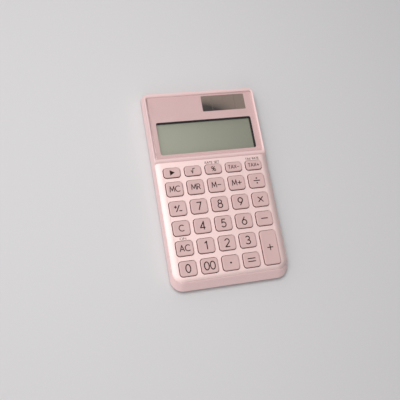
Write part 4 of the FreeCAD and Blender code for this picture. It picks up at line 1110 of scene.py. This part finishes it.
class CALCULATOR_OT_mat(CalculatorOperator):
    """Split the rubber mat into its sheet and its domes, one under each key"""

    bl_idname = "calculator.mat"
    bl_label = "Key mat"

    def execute(self, context):
        rubber = grained("Rubber mat", srgb(70, 60, 60), 0.75, scale=2600, shade=0.12, bump=0.3)
        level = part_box("key_mat")[0].z + context.scene.calculator_sizes.mat
        sheet = self.cut_at(level, False)
        settle(self.piece("mat_sheet", sheet, rubber), HOUSING, "key_mat")
        domes = self.cut_at(level, True)
        for key in KEYS:
            low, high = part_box(key)
            dome = domes.copy()
            outside = [v for v in dome.verts if not (low.x < v.co.x < high.x and low.y < v.co.y < high.y)]
            bmesh.ops.delete(dome, geom=outside, context="VERTS")
            piece = self.piece(f"dome_{key}", dome, rubber)
            fix_beside(piece, HOUSING)
            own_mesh(piece)
        domes.free()
        return {"FINISHED"}

    def cut_at(self, level, above):
        """The mat above or below a level, closed where it is cut."""
        mesh = welded(frame["nodes"]["key_mat"].data)
        everything = [*mesh.verts, *mesh.edges, *mesh.faces]
        plane = {"plane_co": (0, 0, level), "plane_no": (0, 0, 1), "dist": WELD}
        bmesh.ops.bisect_plane(mesh, geom=everything, clear_inner=above, clear_outer=not above, **plane)
        if above:
            flat = [face for face in mesh.faces if all(abs(v.co.z - level) < WELD for v in face.verts)]
            bmesh.ops.delete(mesh, geom=flat, context="FACES")
        rim = [edge for edge in mesh.edges if edge.is_boundary]
        bmesh.ops.triangle_fill(mesh, edges=rim, use_beauty=True)
        bmesh.ops.recalc_face_normals(mesh, faces=mesh.faces)
        return mesh

    def piece(self, name, shape, material):
        """An object from a shape, which is used up."""
        mesh = bpy.data.meshes.new(name)
        close_into(mesh, shape)
        smooth_curves(mesh)
        dress(mesh, material)
        return new_object(name, mesh)


class CALCULATOR_OT_inside(CalculatorOperator):
    """Finish the pieces inside the housing"""

    bl_idname = "calculator.inside"
    bl_label = "Inside"

    def execute(self, context):
        glass = grained("Display glass", srgb(188, 196, 190), 0.12, scale=2500, shade=0.05, bump=0.01, coat=0.5)
        red = grained("Red lead", srgb(176, 38, 36), 0.45)
        black = grained("Black lead", srgb(32, 31, 32), 0.45)
        nickel = grained("Nickel spring sheet", srgb(190, 184, 170), 0.3, scale=2200, shade=0.15, metal=1)
        finishes = {
            "lcd_front_glass": glass,
            "lcd_rear_glass": glass,
            "lcd_reflector": grained("Reflector film", srgb(170, 172, 166), 0.35, metal=0.6),
            "lcd_ribbon": grained("Ribbon foil", srgb(168, 118, 56), 0.4, scale=1500, shade=0.3),
            "main_board": board_finish("Board laminate", srgb(150, 118, 74)),
            "chip_blob": grained("Chip resin", srgb(22, 21, 22), 0.35, shade=0.2),
            "board_parts": grained("Small parts", srgb(146, 112, 78), 0.5, shade=0.2),
            "button_cell": grained("Cell steel", srgb(196, 195, 192), 0.26, scale=1800, shade=0.12, metal=1),
            "cell_minus_contact": nickel,
            "cell_plus_contact": nickel,
            "solar_lead_red": red,
            "cell_lead_red": red,
            "solar_lead_black": black,
            "cell_lead_black": black,
            "board_screws": grained("Inner screw steel", srgb(180, 176, 168), 0.38, shade=0.2, metal=1),
        }
        for node, material in finishes.items():
            dress(frame["nodes"][node].data, material)
        return {"FINISHED"}


# The sky's tone on its bright and on its dark side, and the way to the bright side.
SKY_LEFT = (0.85, 0.85, 0.85, 1)
SKY_RIGHT = (0.04, 0.04, 0.04, 1)
SKY_LEAN = (-0.62, 0.3, 0.0)
# Half the width of the floor.
FLOOR_HALF = 2.0
# Width and place of each lamp.
MAIN_LAMP = (0.3, (-0.16, 0.08, 0.52))
FILL_LAMP = (0.4, (-0.15, -0.5, 0.42))
# Place of the camera, its turns in degrees, the width of its sensor in millimetres and the nearest it sees.
CAMERA_PLACE = (-0.11031, -0.09917, 0.3617)
CAMERA_TURNS = (16.221, -13.0089, -10.1003)
CAMERA_SENSOR = 36
CAMERA_NEAREST = 0.01


class CALCULATOR_OT_stage(CalculatorOperator):
    """Set the pale floor, the soft lamps, the even light and the camera"""

    bl_idname = "calculator.stage"
    bl_label = "Stage"

    def execute(self, context):
        scene = context.scene
        stage = scene.calculator_stage
        scene.view_settings.view_transform = "Standard"
        mesh = bpy.data.meshes.new("floor")
        corners = [(x * FLOOR_HALF, y * FLOOR_HALF, 0) for x, y in ((-1, -1), (1, -1), (1, 1), (-1, 1))]
        mesh.from_pydata(corners, [], [(0, 1, 2, 3)])
        dress(mesh, grained("Pale floor", stage.floor, 0.8, scale=300, shade=0.02, bump=0.0))
        floor = new_object("floor", mesh)
        self.lamp("main_lamp", stage.key_power, *MAIN_LAMP)
        self.lamp("fill_lamp", stage.fill_power, *FILL_LAMP)
        scene.world = self.sky(stage.sky)
        view = bpy.data.cameras.new("camera")
        view.lens = stage.lens
        view.sensor_width = CAMERA_SENSOR
        view.clip_start = CAMERA_NEAREST
        camera = new_object("camera", view)
        camera.location = CAMERA_PLACE
        camera.rotation_euler = [math.radians(turn) for turn in CAMERA_TURNS]
        scene.camera = camera
        return {"FINISHED"}

    def sky(self, strength):
        """Light from all round, stronger from the left and from behind the display than from the right."""
        world = bpy.data.worlds.new("Sky")
        world.use_nodes = True
        nodes = Nodes(world.node_tree)
        way = nodes.add("ShaderNodeTexCoord").outputs["Generated"]
        lean = nodes.add("ShaderNodeVectorMath", {0: way, 1: SKY_LEAN}, operation="DOT_PRODUCT")
        shown = nodes.mix(nodes.share(nodes.math("ADD", lean.outputs["Value"], 0.5), 1.0), SKY_RIGHT, SKY_LEFT)
        background = world.node_tree.nodes["Background"]
        nodes.put(background.inputs["Color"], shown)
        nodes.put(background.inputs["Strength"], strength)
        return world

    def lamp(self, name, power, size, place):
        """A square soft lamp that looks at the calculator."""
        data = bpy.data.lights.new(name, "AREA")
        data.energy = power
        data.size = size
        lamp = new_object(name, data)
        lamp.location = place
        lamp.rotation_euler = (-Vector(place)).to_track_quat("-Z", "Y").to_euler()


class CALCULATOR_PT_panel(bpy.types.Panel):
    """The calculator's steps and values"""

    bl_idname = "CALCULATOR_PT_panel"
    bl_label = "Calculator"
    bl_space_type = "VIEW_3D"
    bl_region_type = "UI"
    bl_category = "Calculator"

    def draw(self, context):
        column = self.layout.column()
        for step in STEPS:
            column.operator(step.bl_idname)
        for group in (context.scene.calculator_finish, context.scene.calculator_sizes, context.scene.calculator_stage):
            for name in group.__annotations__:
                column.prop(group, name)


GROUPS = (CalculatorFinish, CalculatorSizes, CalculatorStage)
STEPS = (
    CALCULATOR_OT_housing,
    CALCULATOR_OT_keys,
    CALCULATOR_OT_signs,
    CALCULATOR_OT_display,
    CALCULATOR_OT_underside,
    CALCULATOR_OT_mat,
    CALCULATOR_OT_inside,
    CALCULATOR_OT_stage,
)
CLASSES = (*GROUPS, *STEPS, CALCULATOR_PT_panel)


def register():
    """Registers the values, the steps and the panel."""
    for kind in CLASSES:
        bpy.utils.register_class(kind)
    bpy.types.Scene.calculator_finish = PointerProperty(type=CalculatorFinish)
    bpy.types.Scene.calculator_sizes = PointerProperty(type=CalculatorSizes)
    bpy.types.Scene.calculator_stage = PointerProperty(type=CalculatorStage)


def unregister():
    """Takes away what register added."""
    del bpy.types.Scene.calculator_stage
    del bpy.types.Scene.calculator_sizes
    del bpy.types.Scene.calculator_finish
    for kind in reversed(CLASSES):
        bpy.utils.unregister_class(kind)


def main():
    """Runs every step in order."""
    register()
    bpy.ops.calculator.housing()
    bpy.ops.calculator.keys()
    bpy.ops.calculator.signs()
    bpy.ops.calculator.display()
    bpy.ops.calculator.underside()
    bpy.ops.calculator.mat()
    bpy.ops.calculator.inside()
    bpy.ops.calculator.stage()


if __name__ == "__main__":
    main()
